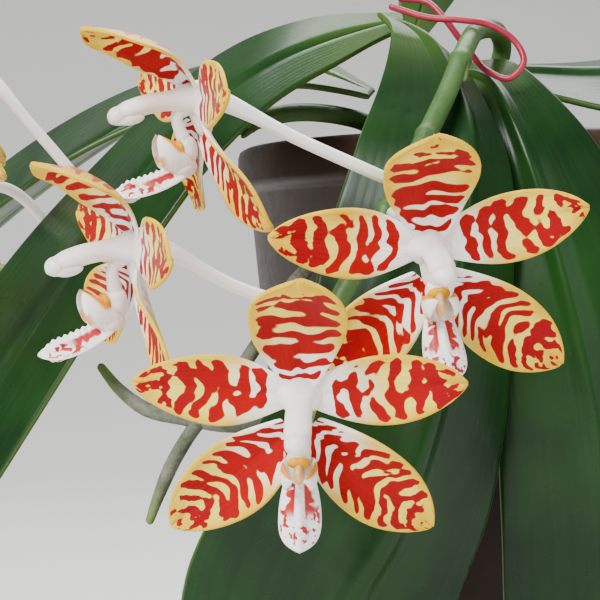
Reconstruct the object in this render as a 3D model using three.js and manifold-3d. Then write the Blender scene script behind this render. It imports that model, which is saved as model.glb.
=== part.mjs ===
import * as THREE from 'three';
import { mergeVertices } from 'three/addons/utils/BufferGeometryUtils.js';
import Module from 'manifold-3d';

// A flowering Phalaenopsis amboinensis in its pot, in millimetres, +Z up.
// The origin is the middle of the pot's underside, and the flowers face -Y.

const wasm = await Module();
wasm.setup();

// Driving dimensions
const GAP = 0.35;
const POT = { height: 150, rimRadius: 62, footRadius: 45, wall: 2.4, floor: 3, rimHeight: 9, sides: 32 };
const DRAIN = { count: 6, radius: 4.5, ring: 27, sides: 12 };
const MEDIUM = { top: 139, bottom: 6, sides: 28, chips: 22, chipLength: 17, seed: 20 };
const STEM = { radius: 5.2, sides: 10 };
const ROOT = { radius: 1.6, sides: 6, steps: 10 };
const SPIKE = { radius: 1.75, sides: 7 };
const WIRE = { radius: 0.75, curveSegments: 4, steps: 28 };
const LEAF = { edge: 0.8, rib: 1.7, across: 6, along: 12 };
const HUB = { radius: 3.5, bore: 2.68, wide: 7, high: 4, chin: 4, chinDepth: 1.5 };
const TEPAL = { edge: 0.62, rib: 1.0, across: 4, along: 5 };
const PEDICEL_RADIUS = 1.05;
const COLUMN = { length: 14.8, neck: 1.75, waist: 1.8, head: 2.2, sides: 7 };
const LIP = { ahead: 3.95, footRadius: 1.35, lobeLength: 13.4, lobeHalfWidth: 3.2,
  sideHeight: 6.6, sideHalfWidth: 2.5, sideLean: 2.4 };

const COLOURS = {
  pot: [0x33241c, 0.5], bark: [0x5a3c26, 0.95], stem: [0x6c7d4c, 0.6], leaf: [0x21481f, 0.35],
  young: [0x2f5a28, 0.35], spike: [0x4f7d45, 0.5], wire: [0xc2475f, 0.4],
  tepal: [0xd8452f, 0.45], white: [0xf3e9e2, 0.45], bud: [0xb9c07a, 0.5],
};

const vec = ([x, y, z]) => new THREE.Vector3(x, y, z);
const curveThrough = (points) => new THREE.CatmullRomCurve3(points.map(vec), false, 'centripetal');
const degrees = THREE.MathUtils.degToRad;
const mix = THREE.MathUtils.lerp;

function seededRandom(seed) {
  let state = seed;
  return () => {
    state = (state * 1103515245 + 12345) % 2147483648;
    return state / 2147483648;
  };
}

// Closed solids: geometry in, manifold out, and back again

function solidOf(geometry) {
  const bare = geometry.clone();
  for (const name of ['normal', 'uv']) bare.deleteAttribute(name);
  const merged = mergeVertices(bare, 1e-4);
  return new wasm.Manifold(new wasm.Mesh({
    numProp: 3,
    vertProperties: Float32Array.from(merged.attributes.position.array),
    triVerts: Uint32Array.from(merged.index.array),
  }));
}

function geometryOf(solid) {
  const { vertProperties, triVerts } = solid.getMesh();
  const geometry = new THREE.BufferGeometry();
  geometry.setAttribute('position', new THREE.BufferAttribute(Float32Array.from(vertProperties), 3));
  geometry.setIndex(Array.from(triVerts));
  geometry.computeVertexNormals();
  return geometry;
}

function indexedGeometry(points, faces) {
  const geometry = new THREE.BufferGeometry();
  geometry.setFromPoints(points);
  geometry.setIndex(faces.flat());
  return geometry;
}

function largestPiece(solid) {
  return solid.decompose().reduce((best, piece) => (piece.volume() > best.volume() ? piece : best));
}

const union = (solids) => solids.reduce((whole, solid) => whole.add(solid));

// A blade: surface(u, v) for u from -1 to 1 and v from 0 to 1, thickened both ways

function bladeSolid(surface, { across, along, edge, rib }) {
  const front = [];
  const back = [];
  const step = 1e-3;
  for (let j = 0; j <= along; j += 1) {
    for (let i = 0; i <= across; i += 1) {
      const u = (2 * i) / across - 1;
      const v = j / along;
      const du = surface(u + step, v).sub(surface(u - step, v));
      const dv = surface(u, Math.min(v + step, 1)).sub(surface(u, Math.max(v - step, 0)));
      const half = mix(rib, edge, Math.abs(u)) / 2;
      const normal = du.cross(dv).setLength(half);
      front.push(surface(u, v).add(normal));
      back.push(surface(u, v).sub(normal));
    }
  }
  const row = across + 1;
  const shift = front.length;
  const faces = [];
  for (let j = 0; j < along; j += 1) {
    for (let i = 0; i < across; i += 1) {
      const a = j * row + i;
      const [b, c, d] = [a + 1, a + 1 + row, a + row];
      faces.push([a, b, c], [a, c, d]);
      faces.push([a + shift, c + shift, b + shift], [a + shift, d + shift, c + shift]);
    }
  }
  const loop = [];
  for (let i = 0; i < across; i += 1) loop.push(i);
  for (let j = 0; j < along; j += 1) loop.push(j * row + across);
  for (let i = across; i > 0; i -= 1) loop.push(along * row + i);
  for (let j = along; j > 0; j -= 1) loop.push(j * row);
  loop.forEach((a, k) => {
    const b = loop[(k + 1) % loop.length];
    faces.push([b, a, a + shift], [b, a + shift, b + shift]);
  });
  return solidOf(indexedGeometry([...front, ...back], faces));
}

// Half-width along a blade, from a claw at the base through its widest place to the tip

function widthShare(v, { claw, peak, fullness, tip }) {
  const rise = claw + (1 - claw) * Math.sin((Math.PI / 2) * Math.min(v / peak, 1));
  const fall = v > peak ? (1 - ((v - peak) / (1 - peak)) ** fullness) ** tip : 1;
  return Math.max(rise * fall, 0.035);
}

// A round tube along a curve, with its radius given along the way and flat ends

function tubeSolid(points, radiusAt, sides, steps) {
  const curve = curveThrough(points);
  const frames = curve.computeFrenetFrames(steps, false);
  const vertices = [];
  for (let k = 0; k <= steps; k += 1) {
    const centre = curve.getPointAt(k / steps);
    for (let s = 0; s < sides; s += 1) {
      const turn = (2 * Math.PI * s) / sides;
      const out = frames.normals[k].clone().multiplyScalar(Math.cos(turn));
      out.addScaledVector(frames.binormals[k], Math.sin(turn));
      vertices.push(centre.clone().addScaledVector(out, radiusAt(k / steps)));
    }
  }
  const faces = [];
  for (let k = 0; k < steps; k += 1) {
    for (let s = 0; s < sides; s += 1) {
      const a = k * sides + s;
      const b = k * sides + ((s + 1) % sides);
      faces.push([a, b, b + sides], [a, b + sides, a + sides]);
    }
  }
  const last = steps * sides;
  for (let s = 1; s < sides - 1; s += 1) {
    faces.push([0, s + 1, s], [last, last + s, last + s + 1]);
  }
  return solidOf(indexedGeometry(vertices, faces));
}

const roundEnds = (radius, start, end) => (t) => {
  const fromStart = Math.min(t / start, 1);
  const fromEnd = Math.min((1 - t) / end, 1);
  return radius * mix(0.35, 1, Math.sin((Math.PI / 2) * Math.min(fromStart, fromEnd)));
};

function ballSolid(centre, radii, wide = 10, high = 7) {
  const ball = new THREE.SphereGeometry(1, wide, high).scale(...radii).translate(...centre);
  return solidOf(ball);
}

// Pot and planting medium

function potRadius(height) {
  return mix(POT.footRadius, POT.rimRadius - 2.5, height / (POT.height - POT.rimHeight));
}

function pot() {
  const shoulder = POT.height - POT.rimHeight;
  const inside = (height) => potRadius(height) - POT.wall;
  const profile = [
    [0, 0], [POT.footRadius - 1.5, 0], [POT.footRadius, 1.5], [potRadius(shoulder), shoulder],
    [POT.rimRadius - 0.8, shoulder + 0.6], [POT.rimRadius, shoulder + 2], [POT.rimRadius, POT.height - 1.5],
    [POT.rimRadius - 1.2, POT.height], [inside(shoulder) + 1.5, POT.height],
    [inside(shoulder), POT.height - 2],
    [inside(shoulder), shoulder], [inside(POT.floor), POT.floor], [0, POT.floor],
  ].map(([r, z]) => new THREE.Vector2(r, z));
  let body = solidOf(new THREE.LatheGeometry(profile, POT.sides).rotateX(Math.PI / 2));
  for (let k = 0; k < DRAIN.count; k += 1) {
    const turn = (2 * Math.PI * k) / DRAIN.count;
    const hole = new THREE.CylinderGeometry(DRAIN.radius, DRAIN.radius, 4 * POT.floor, DRAIN.sides);
    hole.rotateX(Math.PI / 2).translate(DRAIN.ring * Math.cos(turn), DRAIN.ring * Math.sin(turn), 0);
    body = body.subtract(solidOf(hole));
  }
  return geometryOf(body);
}

function barkChip(random, reach) {
  const turn = 2 * Math.PI * random();
  const away = reach * Math.sqrt(random());
  const length = MEDIUM.chipLength * mix(0.55, 1, random());
  const chip = new THREE.BoxGeometry(length, length * mix(0.4, 0.7, random()), mix(4, 8, random()));
  chip.rotateX(mix(-0.5, 0.5, random())).rotateY(mix(-0.5, 0.5, random())).rotateZ(2 * Math.PI * random());
  chip.translate(away * Math.cos(turn), away * Math.sin(turn), MEDIUM.top + mix(-3, 1, random()));
  return solidOf(chip);
}

function barkMedium(plantSolids) {
  const clear = POT.wall + GAP + 0.3;
  const profile = [
    [0, MEDIUM.bottom], [potRadius(MEDIUM.bottom) - clear, MEDIUM.bottom],
    [potRadius(MEDIUM.top - 3) - clear, MEDIUM.top - 3], [potRadius(MEDIUM.top) - clear - 5, MEDIUM.top],
    [0, MEDIUM.top],
  ].map(([r, z]) => new THREE.Vector2(r, z));
  const random = seededRandom(MEDIUM.seed);
  const chips = Array.from({ length: MEDIUM.chips }, () => barkChip(random, potRadius(MEDIUM.top) - 17));
  const filling = solidOf(new THREE.LatheGeometry(profile, MEDIUM.sides).rotateX(Math.PI / 2));
  const heap = union([filling, ...chips]);
  const holed = plantSolids.reduce((left, hole) => left.subtract(hole), heap);
  return geometryOf(largestPiece(holed));
}

// Stem and roots

const STEM_LINE = [[-20, -26, 118], [-22, -31, 138], [-26.5, -39.5, 153], [-30.3, -46.5, 164]];
const ROOTS = [
  [[-28, -44, 153], [-32, -54, 157], [-35, -62, 152], [-38, -68, 139], [-43, -71, 129], [-50, -71, 122],
    [-58, -70, 109], [-69, -67, 94.5], [-73, -65, 87], [-76, -63, 79]],
  [[-28, -43, 150], [-31, -56, 154], [-31, -65, 146], [-32, -68, 130], [-38, -69, 112], [-48, -70, 100],
    [-60, -69, 97], [-69, -67, 98], [-76, -66, 99.5], [-81, -64, 103], [-85, -62, 107.5]],
  [[-22, -32, 142], [-6, -20, 148], [18, -2, 146], [34, 14, 140], [40, 22, 130]],
  [[-24, -32, 141], [-30, -10, 146], [-26, 16, 146], [-14, 38, 141], [-8, 46, 130]],
  [[-22, -36, 146], [-8, -42, 146], [4, -44, 141], [8, -44, 130]],
  [[-22, -30, 140], [-4, -6, 146], [4, 30, 148], [8, 56, 156], [10, 67, 150], [10, 71, 126], [14, 68, 100]],
];

function lengthened(line, extra) {
  const ends = [[line[0], line[1]], [line.at(-1), line.at(-2)]].map(([end, next]) => {
    const outward = vec(end).sub(vec(next)).setLength(extra);
    return vec(end).add(outward).toArray();
  });
  return [ends[0], ...line.slice(1, -1), ends[1]];
}

function stemSolid(extra) {
  return tubeSolid(lengthened(STEM_LINE, extra), (t) => STEM.radius * mix(1, 0.72, t) + extra, STEM.sides, 7);
}

function rootSolids(extra) {
  const taper = roundEnds(ROOT.radius, 0.02, 0.12);
  const grown = (line) => tubeSolid(lengthened(line, extra), (t) => taper(t) + extra, ROOT.sides, ROOT.steps);
  return ROOTS.map(grown);
}

// Leaves: a midrib line, and how far each half reaches from it at full width

const LEAF_OUTLINE = { claw: 0.34, peak: 0.46, fullness: 2.5, tip: 0.6 };
const LEAVES = {
  leaf_centre: {
    rib: [[-31, -56, 169.3], [-26, -61, 165.5], [-21, -71, 154], [-20, -78, 145], [-22, -84, 128],
      [-26.5, -87, 102], [-33.5, -87, 81], [-40, -85, 69], [-49, -79, 44], [-56, -70, 18]],
    low: [[-12, 2, 4], [-25, 4, 1], [-24, 4, 2], [-31, 6, 3], [-29, 8, 3], [-27, 9, 3]],
    high: [[11, -1, -7], [10, 11, -6], [12, 15, -2], [17, 13, -1], [23, 10, -3], [24, 9, -3]],
  },
  leaf_left_front: {
    rib: [[-32.5, -49.5, 170], [-42, -53, 167.3], [-55, -57, 161.6], [-66, -61, 153], [-77.5, -65, 140],
      [-88.5, -67, 126], [-98.5, -68, 111], [-109.5, -68, 93], [-122, -65, 70], [-136, -60, 47]],
    low: [[0, -8, -11], [3, -12, -11], [6, -9, -9], [7, -10, -8], [8, -12, -8], [10, -12, -8]],
    high: [[-2, 10, 10], [-6, 19, 9], [-8, 20, 7], [-10, 18, 8], [-12, 18, 10], [-14, 18, 12]],
  },
  leaf_left_back: {
    rib: [[-37.5, -40, 159], [-48, -29, 164], [-73, -15, 160], [-98, -8, 146], [-128, -3, 120],
      [-150, 0, 88]],
    low: [[-4, -10, -6], [-6, -18, -8], [-8, -22, -8], [-10, -24, -8], [-10, -23, -6], [-8, -22, -4]],
    high: [[4, 12, 4], [-2, 24, 8], [-6, 25, 8], [-8, 24, 8], [-8, 24, 8], [-6, 23, 6]],
  },
  leaf_right_front: {
    rib: [[-21.5, -49, 160.2], [-15.5, -55.5, 159.5], [-10, -65.4, 147.5], [-5, -69, 131], [-1.5, -71, 117],
      [3, -71, 95], [6, -69, 67], [7, -65, 40], [6, -60, 14]],
    low: [[-4, -6, -8], [-12, 4, -2], [-16, 3, 0], [-19, 4, 0], [-22, 5, 0], [-22, 5, 0]],
    high: [[7, 6, 8], [15, 5, 8], [20, 4, 8], [24, 8, 3], [24, 8, 2], [24, 8, 0]],
  },
  leaf_right_back: {
    rib: [[-22.5, -36.5, 160.5], [-10, -27, 163.5], [8, -25, 163.5], [40, -22, 165], [67, -20, 158],
      [90, -16, 141], [107, -13, 117], [118, -12, 90]],
    low: [[4, -10, -2], [4, -19, -12], [4, -25, -12], [-2, -26, -8], [-6, -25, -5], [-8, -24, -2]],
    high: [[-2, 12, 3], [0, 22, 5], [2, 25, 6], [2, 26, 6], [2, 25, 6], [2, 24, 4]],
  },
  leaf_young: {
    rib: [[-28, -43.5, 168.5], [-25, -39, 178], [-20, -29, 195], [-14, -15, 211], [-8, 0, 221]],
    low: [[-7, -2, 0], [-9, -3, 1], [-10, -3, 2], [-10, -3, 2]],
    high: [[7, 4, -2], [9, 5, -3], [9, 6, -3], [9, 6, -3]],
  },
};

function leafSurface({ rib, low, high }) {
  const [ribLine, lowReach, highReach] = [rib, low, high].map(curveThrough);
  return (u, v) => {
    const reach = (u < 0 ? lowReach : highReach).getPoint(v);
    const side = Math.abs(u);
    const arch = 1 + 0.08 * Math.sin(Math.PI * side);
    return ribLine.getPointAt(v).addScaledVector(reach, side * arch * widthShare(v, LEAF_OUTLINE));
  };
}

// Flowers: each is set by its middle, the way it faces and how its parts lean

const OUTLINES = {
  dorsal: { length: 22, halfWidth: 7.2, claw: 0.34, peak: 0.6, fullness: 2.8, tip: 0.6, cup: [0.3, 0.3] },
  petal: { length: 23.2, halfWidth: 5.5, claw: 0.36, peak: 0.45, fullness: 2, tip: 0.7, cup: [0.1, 0.1] },
  lateral: { length: 24.5, halfWidth: 6, claw: 0.4, peak: 0.48, fullness: 2.2, tip: 0.72, cup: [0.42, 0.1] },
};

// turn: from facing -Y towards -X. nod: downwards. roll: the petal on the right goes up.
// Each lean is two angles from straight ahead, at a tepal's base and at its tip.
const FACING = { turn: 2, nod: 16, roll: 0, dorsal: [85, 30], hoodTwist: 0, petal: [84, 88],
  petalAround: 84, twist: 0,
  lateral: [88, 96], lateralAround: 131, droop: 13, lip: 45, foot: 8, chinLean: 0 };
const SIDEWAYS = { turn: 70, nod: 2, roll: -8, dorsal: [66, -12], hoodTwist: 15, petal: [84, 84],
  petalAround: 85, twist: 16,
  lateral: [98, 106], lateralAround: 127, droop: 12, lip: 4, foot: 10.2, chinLean: 6 };
const BLOOMS = {
  bloom_1: { ...SIDEWAYS, dorsal: [54, -2], lip: 0, chinLean: 18, at: [-65.9, -97.4, 151.5],
    spike: 'front', joint: 0.7, by: [-48.5, -92, 145] },
  bloom_2: { ...SIDEWAYS, dorsal: [70, -2], turn: 68, roll: -11, lateralAround: 122, lateral: [86, 92],
    at: [-74.5, -108.8, 127.3], spike: 'front', joint: 0.92, by: [-58.5, -100, 120.8] },
  bloom_3: { ...FACING, turn: -6, roll: 6, petalAround: 80, droop: 4, lip: 32, foot: 6.4,
    at: [-29.5, -119, 127], spike: 'front', joint: 0.75, by: [-31, -103, 132] },
  bloom_4: { ...FACING, dorsal: [88, 36], at: [-49, -126, 105], spike: 'front', joint: 0.985,
    by: [-49, -111, 106] },
  bloom_5: { ...SIDEWAYS, turn: 82, lateralAround: 118, at: [-110.3, -46.4, 159.8],
    spike: 'back', joint: 0.66, by: [-98.5, -45.6, 150.8] },
  bloom_6: { ...SIDEWAYS, turn: 74, at: [-121, -59, 136.5],
    spike: 'back', joint: 0.77, by: [-103.5, -51.3, 139.7] },
};

function bloomAxes({ turn, nod, roll }) {
  const spin = new THREE.Euler(0, 0, degrees(-turn));
  const forward = new THREE.Vector3(0, -Math.cos(degrees(nod)), -Math.sin(degrees(nod))).applyEuler(spin);
  const right = new THREE.Vector3(1, 0, 0).applyEuler(spin).applyAxisAngle(forward, degrees(roll));
  return { forward, right, up: forward.clone().cross(right) };
}

function tepalSurface(centre, { forward, right, up }, around, lean, outline, twist = 0, root = centre) {
  const outward = up.clone().multiplyScalar(Math.cos(degrees(around)));
  outward.addScaledVector(right, Math.sin(degrees(around)));
  const side = up.clone().multiplyScalar(-Math.sin(degrees(around)));
  side.addScaledVector(right, Math.cos(degrees(around)));
  const heading = (v) => degrees(mix(lean[0], lean[1], v));
  const direction = (v) => forward.clone().multiplyScalar(Math.cos(heading(v)))
    .addScaledVector(outward, Math.sin(heading(v)));
  const pieces = 24;
  const spine = [root.clone().addScaledVector(outward, 1.6)];
  for (let k = 0; k < pieces; k += 1) {
    spine.push(spine[k].clone().addScaledVector(direction((k + 0.5) / pieces), outline.length / pieces));
  }
  const line = new THREE.CatmullRomCurve3(spine);
  return (u, v) => {
    const half = outline.halfWidth * widthShare(v, outline);
    const along = direction(v);
    const across = side.clone().applyAxisAngle(along, degrees(around < 0 ? -twist : twist));
    const normal = across.clone().cross(along);
    const lift = half * mix(...outline.cup, v) * u * u + 0.35 * Math.abs(u) * Math.sin(9 * v + 2 * u);
    return line.getPoint(v).addScaledVector(across, u * half).addScaledVector(normal, lift);
  };
}

function bloomTepals(bloom) {
  const centre = vec(bloom.at);
  const axes = bloomAxes(bloom);
  const { dorsal, petal, lateral } = OUTLINES;
  const { place, chin } = columnAxes(bloom);
  const blades = [
    tepalSurface(centre, axes, 0, bloom.dorsal, dorsal, bloom.hoodTwist),
    tepalSurface(centre, axes, bloom.petalAround, bloom.petal, petal),
    tepalSurface(centre, axes, -bloom.petalAround, bloom.petal, petal),
    tepalSurface(centre, axes, bloom.lateralAround, bloom.lateral, lateral, bloom.twist, chin(HUB.chin)),
    tepalSurface(centre, axes, -bloom.lateralAround, bloom.lateral, lateral, bloom.twist, chin(HUB.chin)),
  ].map((surface) => bladeSolid(surface, TEPAL));
  const hub = ballSolid(bloom.at, [HUB.radius, HUB.radius, HUB.radius], HUB.wide, HUB.high);
  const keel = tubeSolid([chin(-1).toArray(), chin(HUB.chin + 2.4).toArray()], () => HUB.chinDepth, 8, 1);
  const behind = (way) => centre.clone().addScaledVector(axes.forward, -way);
  const middle = [behind(3.2), behind(1.2), place(1.5, 0), place(9, 0)].map((p) => p.toArray());
  const bore = tubeSolid([bloom.by, ...middle], () => HUB.bore, 8, 6);
  const whole = union([hub, keel, ...blades]).subtract(bore);
  return largestPiece(whole.subtract(tubeSolid(footLine(bloom, GAP), () => LIP.footRadius + GAP, 7, 1)));
}

// The column and the lip below it tip down together, and the lip a little more

function columnAxes(bloom) {
  const { forward, right, up } = bloomAxes(bloom);
  const tip = (axis, angle) => axis.clone().applyAxisAngle(right, degrees(angle));
  const centre = vec(bloom.at);
  const place = (ahead, below) => centre.clone().addScaledVector(tip(forward, bloom.droop), ahead)
    .addScaledVector(tip(up, bloom.droop), -below);
  const chin = (below) => centre.clone().addScaledVector(tip(up, bloom.chinLean), -below);
  const under = (below) => chin(below).addScaledVector(forward, LIP.ahead);
  const angle = bloom.droop + bloom.lip;
  return { right, ahead: tip(forward, angle), above: tip(up, angle), place, chin, under };
}

const footLine = (bloom, reach) => {
  const { under } = columnAxes(bloom);
  return [under(0), under(0.66 * bloom.foot + reach)].map((p) => p.toArray());
};

function spikePoint(bloom, way) {
  const start = SPIKES[bloom.spike].getPointAt(bloom.joint);
  const heading = vec(bloom.by).sub(start).normalize();
  return start.addScaledVector(heading, way).toArray();
}

function bloomColumn(bloom) {
  const { forward } = bloomAxes(bloom);
  const { place } = columnAxes(bloom);
  const behind = (way) => vec(bloom.at).addScaledVector(forward, -way).toArray();
  const start = spikePoint(bloom, SPIKE.radius + 2.8 * GAP);
  const pedicel = [start, bloom.by, behind(3.2), behind(1.2), behind(-1.5)];
  const swollen = (t) => THREE.MathUtils.smoothstep(t, 0.55, 0.95);
  const stalk = tubeSolid(pedicel, (t) => mix(PEDICEL_RADIUS, COLUMN.neck, swollen(t)), COLUMN.sides, 8);
  const line = [place(1, 0), place(0.5 * COLUMN.length, -0.4), place(COLUMN.length, 0)];
  const club = (t) => (t < 0.75 ? mix(COLUMN.waist, COLUMN.head, t / 0.75) : mix(COLUMN.head, 1.2, 4 * t - 3));
  const column = tubeSolid(line.map((p) => p.toArray()), club, COLUMN.sides, 5);
  const foot = tubeSolid(footLine(bloom, 0), () => LIP.footRadius, COLUMN.sides, 1);
  return union([stalk, column, foot]);
}

function bloomLip(bloom) {
  const { right, ahead, above, under } = columnAxes(bloom);
  const root = under(bloom.foot);
  const point = (x, y, z) => root.clone().addScaledVector(right, x).addScaledVector(ahead, y)
    .addScaledVector(above, z);
  const lobe = { claw: 0.5, peak: 0.62, fullness: 2.4, tip: 0.6 };
  const midlobe = (u, v) => {
    const half = LIP.lobeHalfWidth * widthShare(v, lobe);
    return point(half * u, 0.5 + LIP.lobeLength * v, -1.6 - 3.6 * v + 2.4 * v * v - 0.28 * half * u * u);
  };
  const wing = { claw: 0.8, peak: 0.2, fullness: 1.4, tip: 0.65 };
  const sidelobe = (hand) => (u, v) => {
    const half = LIP.sideHalfWidth * widthShare(v, wing);
    const bulge = hand * (1.6 + 0.9 * Math.sin(2.6 * v) - 0.9 * v * v * v);
    return point(bulge, 2.2 + hand * half * u + LIP.sideLean * v, -1.6 + LIP.sideHeight * v);
  };
  const blades = [
    bladeSolid(midlobe, { across: 4, along: 4, edge: 0.9, rib: 2 }),
    bladeSolid(sidelobe(1), { across: 2, along: 2, edge: 0.8, rib: 0.9 }),
    bladeSolid(sidelobe(-1), { across: 2, along: 2, edge: 0.8, rib: 0.9 }),
  ];
  const seat = ballSolid(point(0, 1.6, -1.2).toArray(), [2.5, 2.5, 1.7], 6, 4);
  const clearance = tubeSolid(footLine(bloom, GAP), () => LIP.footRadius + GAP, COLUMN.sides, 1);
  return union([seat, ...blades]).subtract(clearance);
}

// Flower spikes: a jointed green axis with a bract at each joint

const SPIKE_LINES = {
  front: [[-25, -44.5, 152], [-18, -44, 157], [-12.5, -43, 161.5], [-11, -44, 166], [-12.5, -49, 168.8],
  [-17, -58, 167.6], [-20, -68, 163], [-24, -76, 154], [-28, -81.5, 146], [-31.3, -86, 140],
  [-34, -89.5, 135], [-38, -92.5, 127], [-42, -94, 120], [-45, -95.5, 114], [-46.5, -98, 108]],
  back: [[-32.5, -37.5, 151], [-39, -40, 153.5], [-50, -41, 154.5], [-62, -41, 151.5], [-75, -42, 146],
    [-88, -43, 137], [-95, -42, 123], [-101, -41, 110]],
};
const SPIKES = { front: curveThrough(SPIKE_LINES.front), back: curveThrough(SPIKE_LINES.back) };

function bract(curve, t, length) {
  const at = curve.getPointAt(t);
  const along = curve.getTangentAt(t);
  const start = at.clone().addScaledVector(along, -1.5);
  const side = new THREE.Vector3(0.4, -0.5, -0.75).normalize();
  const end = at.clone().addScaledVector(along, length).addScaledVector(side, 3.2);
  const middle = at.clone().addScaledVector(along, 0.3 * length).addScaledVector(side, 1.7);
  return tubeSolid([start, middle, end].map((p) => p.toArray()), roundEnds(1.5, 0.3, 0.9), 6, 4);
}

function spikeSolid(side, steps, nodes) {
  const curve = SPIKES[side];
  const axis = tubeSolid(SPIKE_LINES[side], roundEnds(SPIKE.radius, 0.02, 0.1), SPIKE.sides, steps);
  return union([axis, ...nodes.map((t) => bract(curve, t, 3.4))]);
}

function budSolid(from, by, at, length) {
  const stalk = tubeSolid([from, by, at], () => 0.95, 8, 6);
  const direction = vec(at).sub(vec(by)).normalize();
  const bud = ballSolid([0, 0, 0], [length * 0.36, length * 0.36, length * 0.5]);
  const turn = new THREE.Quaternion().setFromUnitVectors(new THREE.Vector3(0, 0, 1), direction);
  const place = new THREE.Matrix4().compose(vec(at).addScaledVector(direction, length * 0.42), turn,
    new THREE.Vector3(1, 1, 1));
  const placed = solidOf(geometryOf(bud).applyMatrix4(place));
  return union([stalk, placed]);
}

const BUDS = {
  bud_front: { from: [-46.6, -100, 106.6], by: [-47, -103, 103], at: [-48, -106, 99.5], length: 7 },
  bud_back: { from: [-99, -39.5, 121], by: [-103, -38, 124.5], at: [-107, -37, 125], length: 9 },
};

// Tie wire: one coated wire that loops loosely round the top of the front spike

const WIRE_LINE = [[-33, -59.5, 172], [-26, -61.5, 169.6], [-20, -62.8, 169], [-14.8, -63, 168], [-10.5, -63, 165],
  [-9.2, -64, 161.3], [-11.7, -63.5, 158.5], [-15.3, -61.5, 160], [-17, -59.5, 162], [-19, -57, 165],
  [-22.8, -56, 170.3], [-25.8, -54, 173.5], [-31, -52, 174.5]];

function tieWire() {
  const section = new THREE.Shape();
  section.absarc(0, 0, WIRE.radius, 0, 2 * Math.PI, false);
  return new THREE.ExtrudeGeometry(section, {
    steps: WIRE.steps,
    curveSegments: WIRE.curveSegments,
    bevelEnabled: false,
    extrudePath: curveThrough(WIRE_LINE),
  });
}

// The whole plant

function mesh(name, geometry, [color, roughness]) {
  const made = new THREE.Mesh(geometry, new THREE.MeshStandardMaterial({ color, roughness, metalness: 0 }));
  made.name = name;
  return made;
}

const plant = new THREE.Group();
const stem = union([stemSolid(0), ...rootSolids(0)]);
const holes = [stemSolid(1.3 * GAP), ...rootSolids(1.3 * GAP)];

plant.add(mesh('pot', pot(), COLOURS.pot));
plant.add(mesh('bark_medium', barkMedium(holes), COLOURS.bark));
plant.add(mesh('stem_and_roots', geometryOf(stem), COLOURS.stem));
for (const [name, leaf] of Object.entries(LEAVES)) {
  const colour = name === 'leaf_young' ? COLOURS.young : COLOURS.leaf;
  plant.add(mesh(name, geometryOf(bladeSolid(leafSurface(leaf), LEAF)), colour));
}
plant.add(mesh('flower_spike_front', geometryOf(spikeSolid('front', 26, [0.44, 0.6, 0.75])), COLOURS.spike));
plant.add(mesh('flower_spike_back', geometryOf(spikeSolid('back', 17, [0.3, 0.5, 0.78])), COLOURS.spike));
for (const [name, bloom] of Object.entries(BLOOMS)) {
  plant.add(mesh(`${name}_tepals`, geometryOf(bloomTepals(bloom)), COLOURS.tepal));
  plant.add(mesh(`${name}_column`, geometryOf(bloomColumn(bloom)), COLOURS.white));
  plant.add(mesh(`${name}_lip`, geometryOf(bloomLip(bloom)), COLOURS.white));
}
for (const [name, bud] of Object.entries(BUDS)) {
  plant.add(mesh(name, geometryOf(budSolid(bud.from, bud.by, bud.at, bud.length)), COLOURS.bud));
}
plant.add(mesh('tie_wire', tieWire(), COLOURS.wire));

export default plant;
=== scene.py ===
"""A flowering Phalaenopsis amboinensis in its pot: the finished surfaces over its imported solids.

Lengths in the tables below are in millimetres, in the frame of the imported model:
+Z up, the flowers facing -Y, and the origin in the middle of the pot's underside.
"""

import math
import random

import bmesh
import bpy
from mathutils import Matrix, Quaternion, Vector, noise


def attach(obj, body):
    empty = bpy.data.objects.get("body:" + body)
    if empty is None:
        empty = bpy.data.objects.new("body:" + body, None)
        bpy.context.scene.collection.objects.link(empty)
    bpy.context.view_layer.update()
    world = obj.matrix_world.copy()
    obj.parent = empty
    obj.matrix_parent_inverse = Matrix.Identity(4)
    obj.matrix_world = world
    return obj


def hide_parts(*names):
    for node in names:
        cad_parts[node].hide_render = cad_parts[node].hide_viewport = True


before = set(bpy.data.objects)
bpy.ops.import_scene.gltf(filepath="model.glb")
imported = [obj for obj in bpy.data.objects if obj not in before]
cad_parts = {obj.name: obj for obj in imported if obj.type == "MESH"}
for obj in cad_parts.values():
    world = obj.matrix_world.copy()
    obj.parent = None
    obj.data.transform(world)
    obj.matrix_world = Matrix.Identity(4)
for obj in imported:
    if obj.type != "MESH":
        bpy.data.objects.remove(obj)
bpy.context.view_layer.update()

bl_info = {
    "name": "Potted Phalaenopsis",
    "version": (1, 0, 0),
    "blender": (4, 5, 0),
    "location": "View3D > Sidebar > Orchid",
    "description": "Builds a potted Phalaenopsis amboinensis in flower, with its leaves, roots and pot",
    "category": "Object",
}

MM = 0.001

# Lines that the stem, roots, spikes, leaves and wire follow

STEM_LINE = [(-20, -26, 118), (-22, -31, 138), (-26.5, -39.5, 153), (-30.3, -46.5, 164)]
ROOTS = [
    [(-28, -44, 153), (-32, -54, 157), (-35, -62, 152), (-38, -68, 139), (-43, -71, 129), (-50, -71, 122),
     (-58, -70, 109), (-69, -67, 94.5), (-73, -65, 87), (-76, -63, 79)],
    [(-28, -43, 150), (-31, -56, 154), (-31, -65, 146), (-32, -68, 130), (-38, -69, 112), (-48, -70, 100),
     (-60, -69, 97), (-69, -67, 98), (-76, -66, 99.5), (-81, -64, 103), (-85, -62, 107.5)],
    [(-22, -32, 142), (-6, -20, 148), (18, -2, 146), (34, 14, 140), (40, 22, 130)],
    [(-24, -32, 141), (-30, -10, 146), (-26, 16, 146), (-14, 38, 141), (-8, 46, 130)],
    [(-22, -36, 146), (-8, -42, 146), (4, -44, 141), (8, -44, 130)],
    [(-22, -30, 140), (-4, -6, 146), (4, 30, 148), (8, 56, 156), (10, 67, 150), (10, 71, 126), (14, 68, 100)],
]

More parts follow.
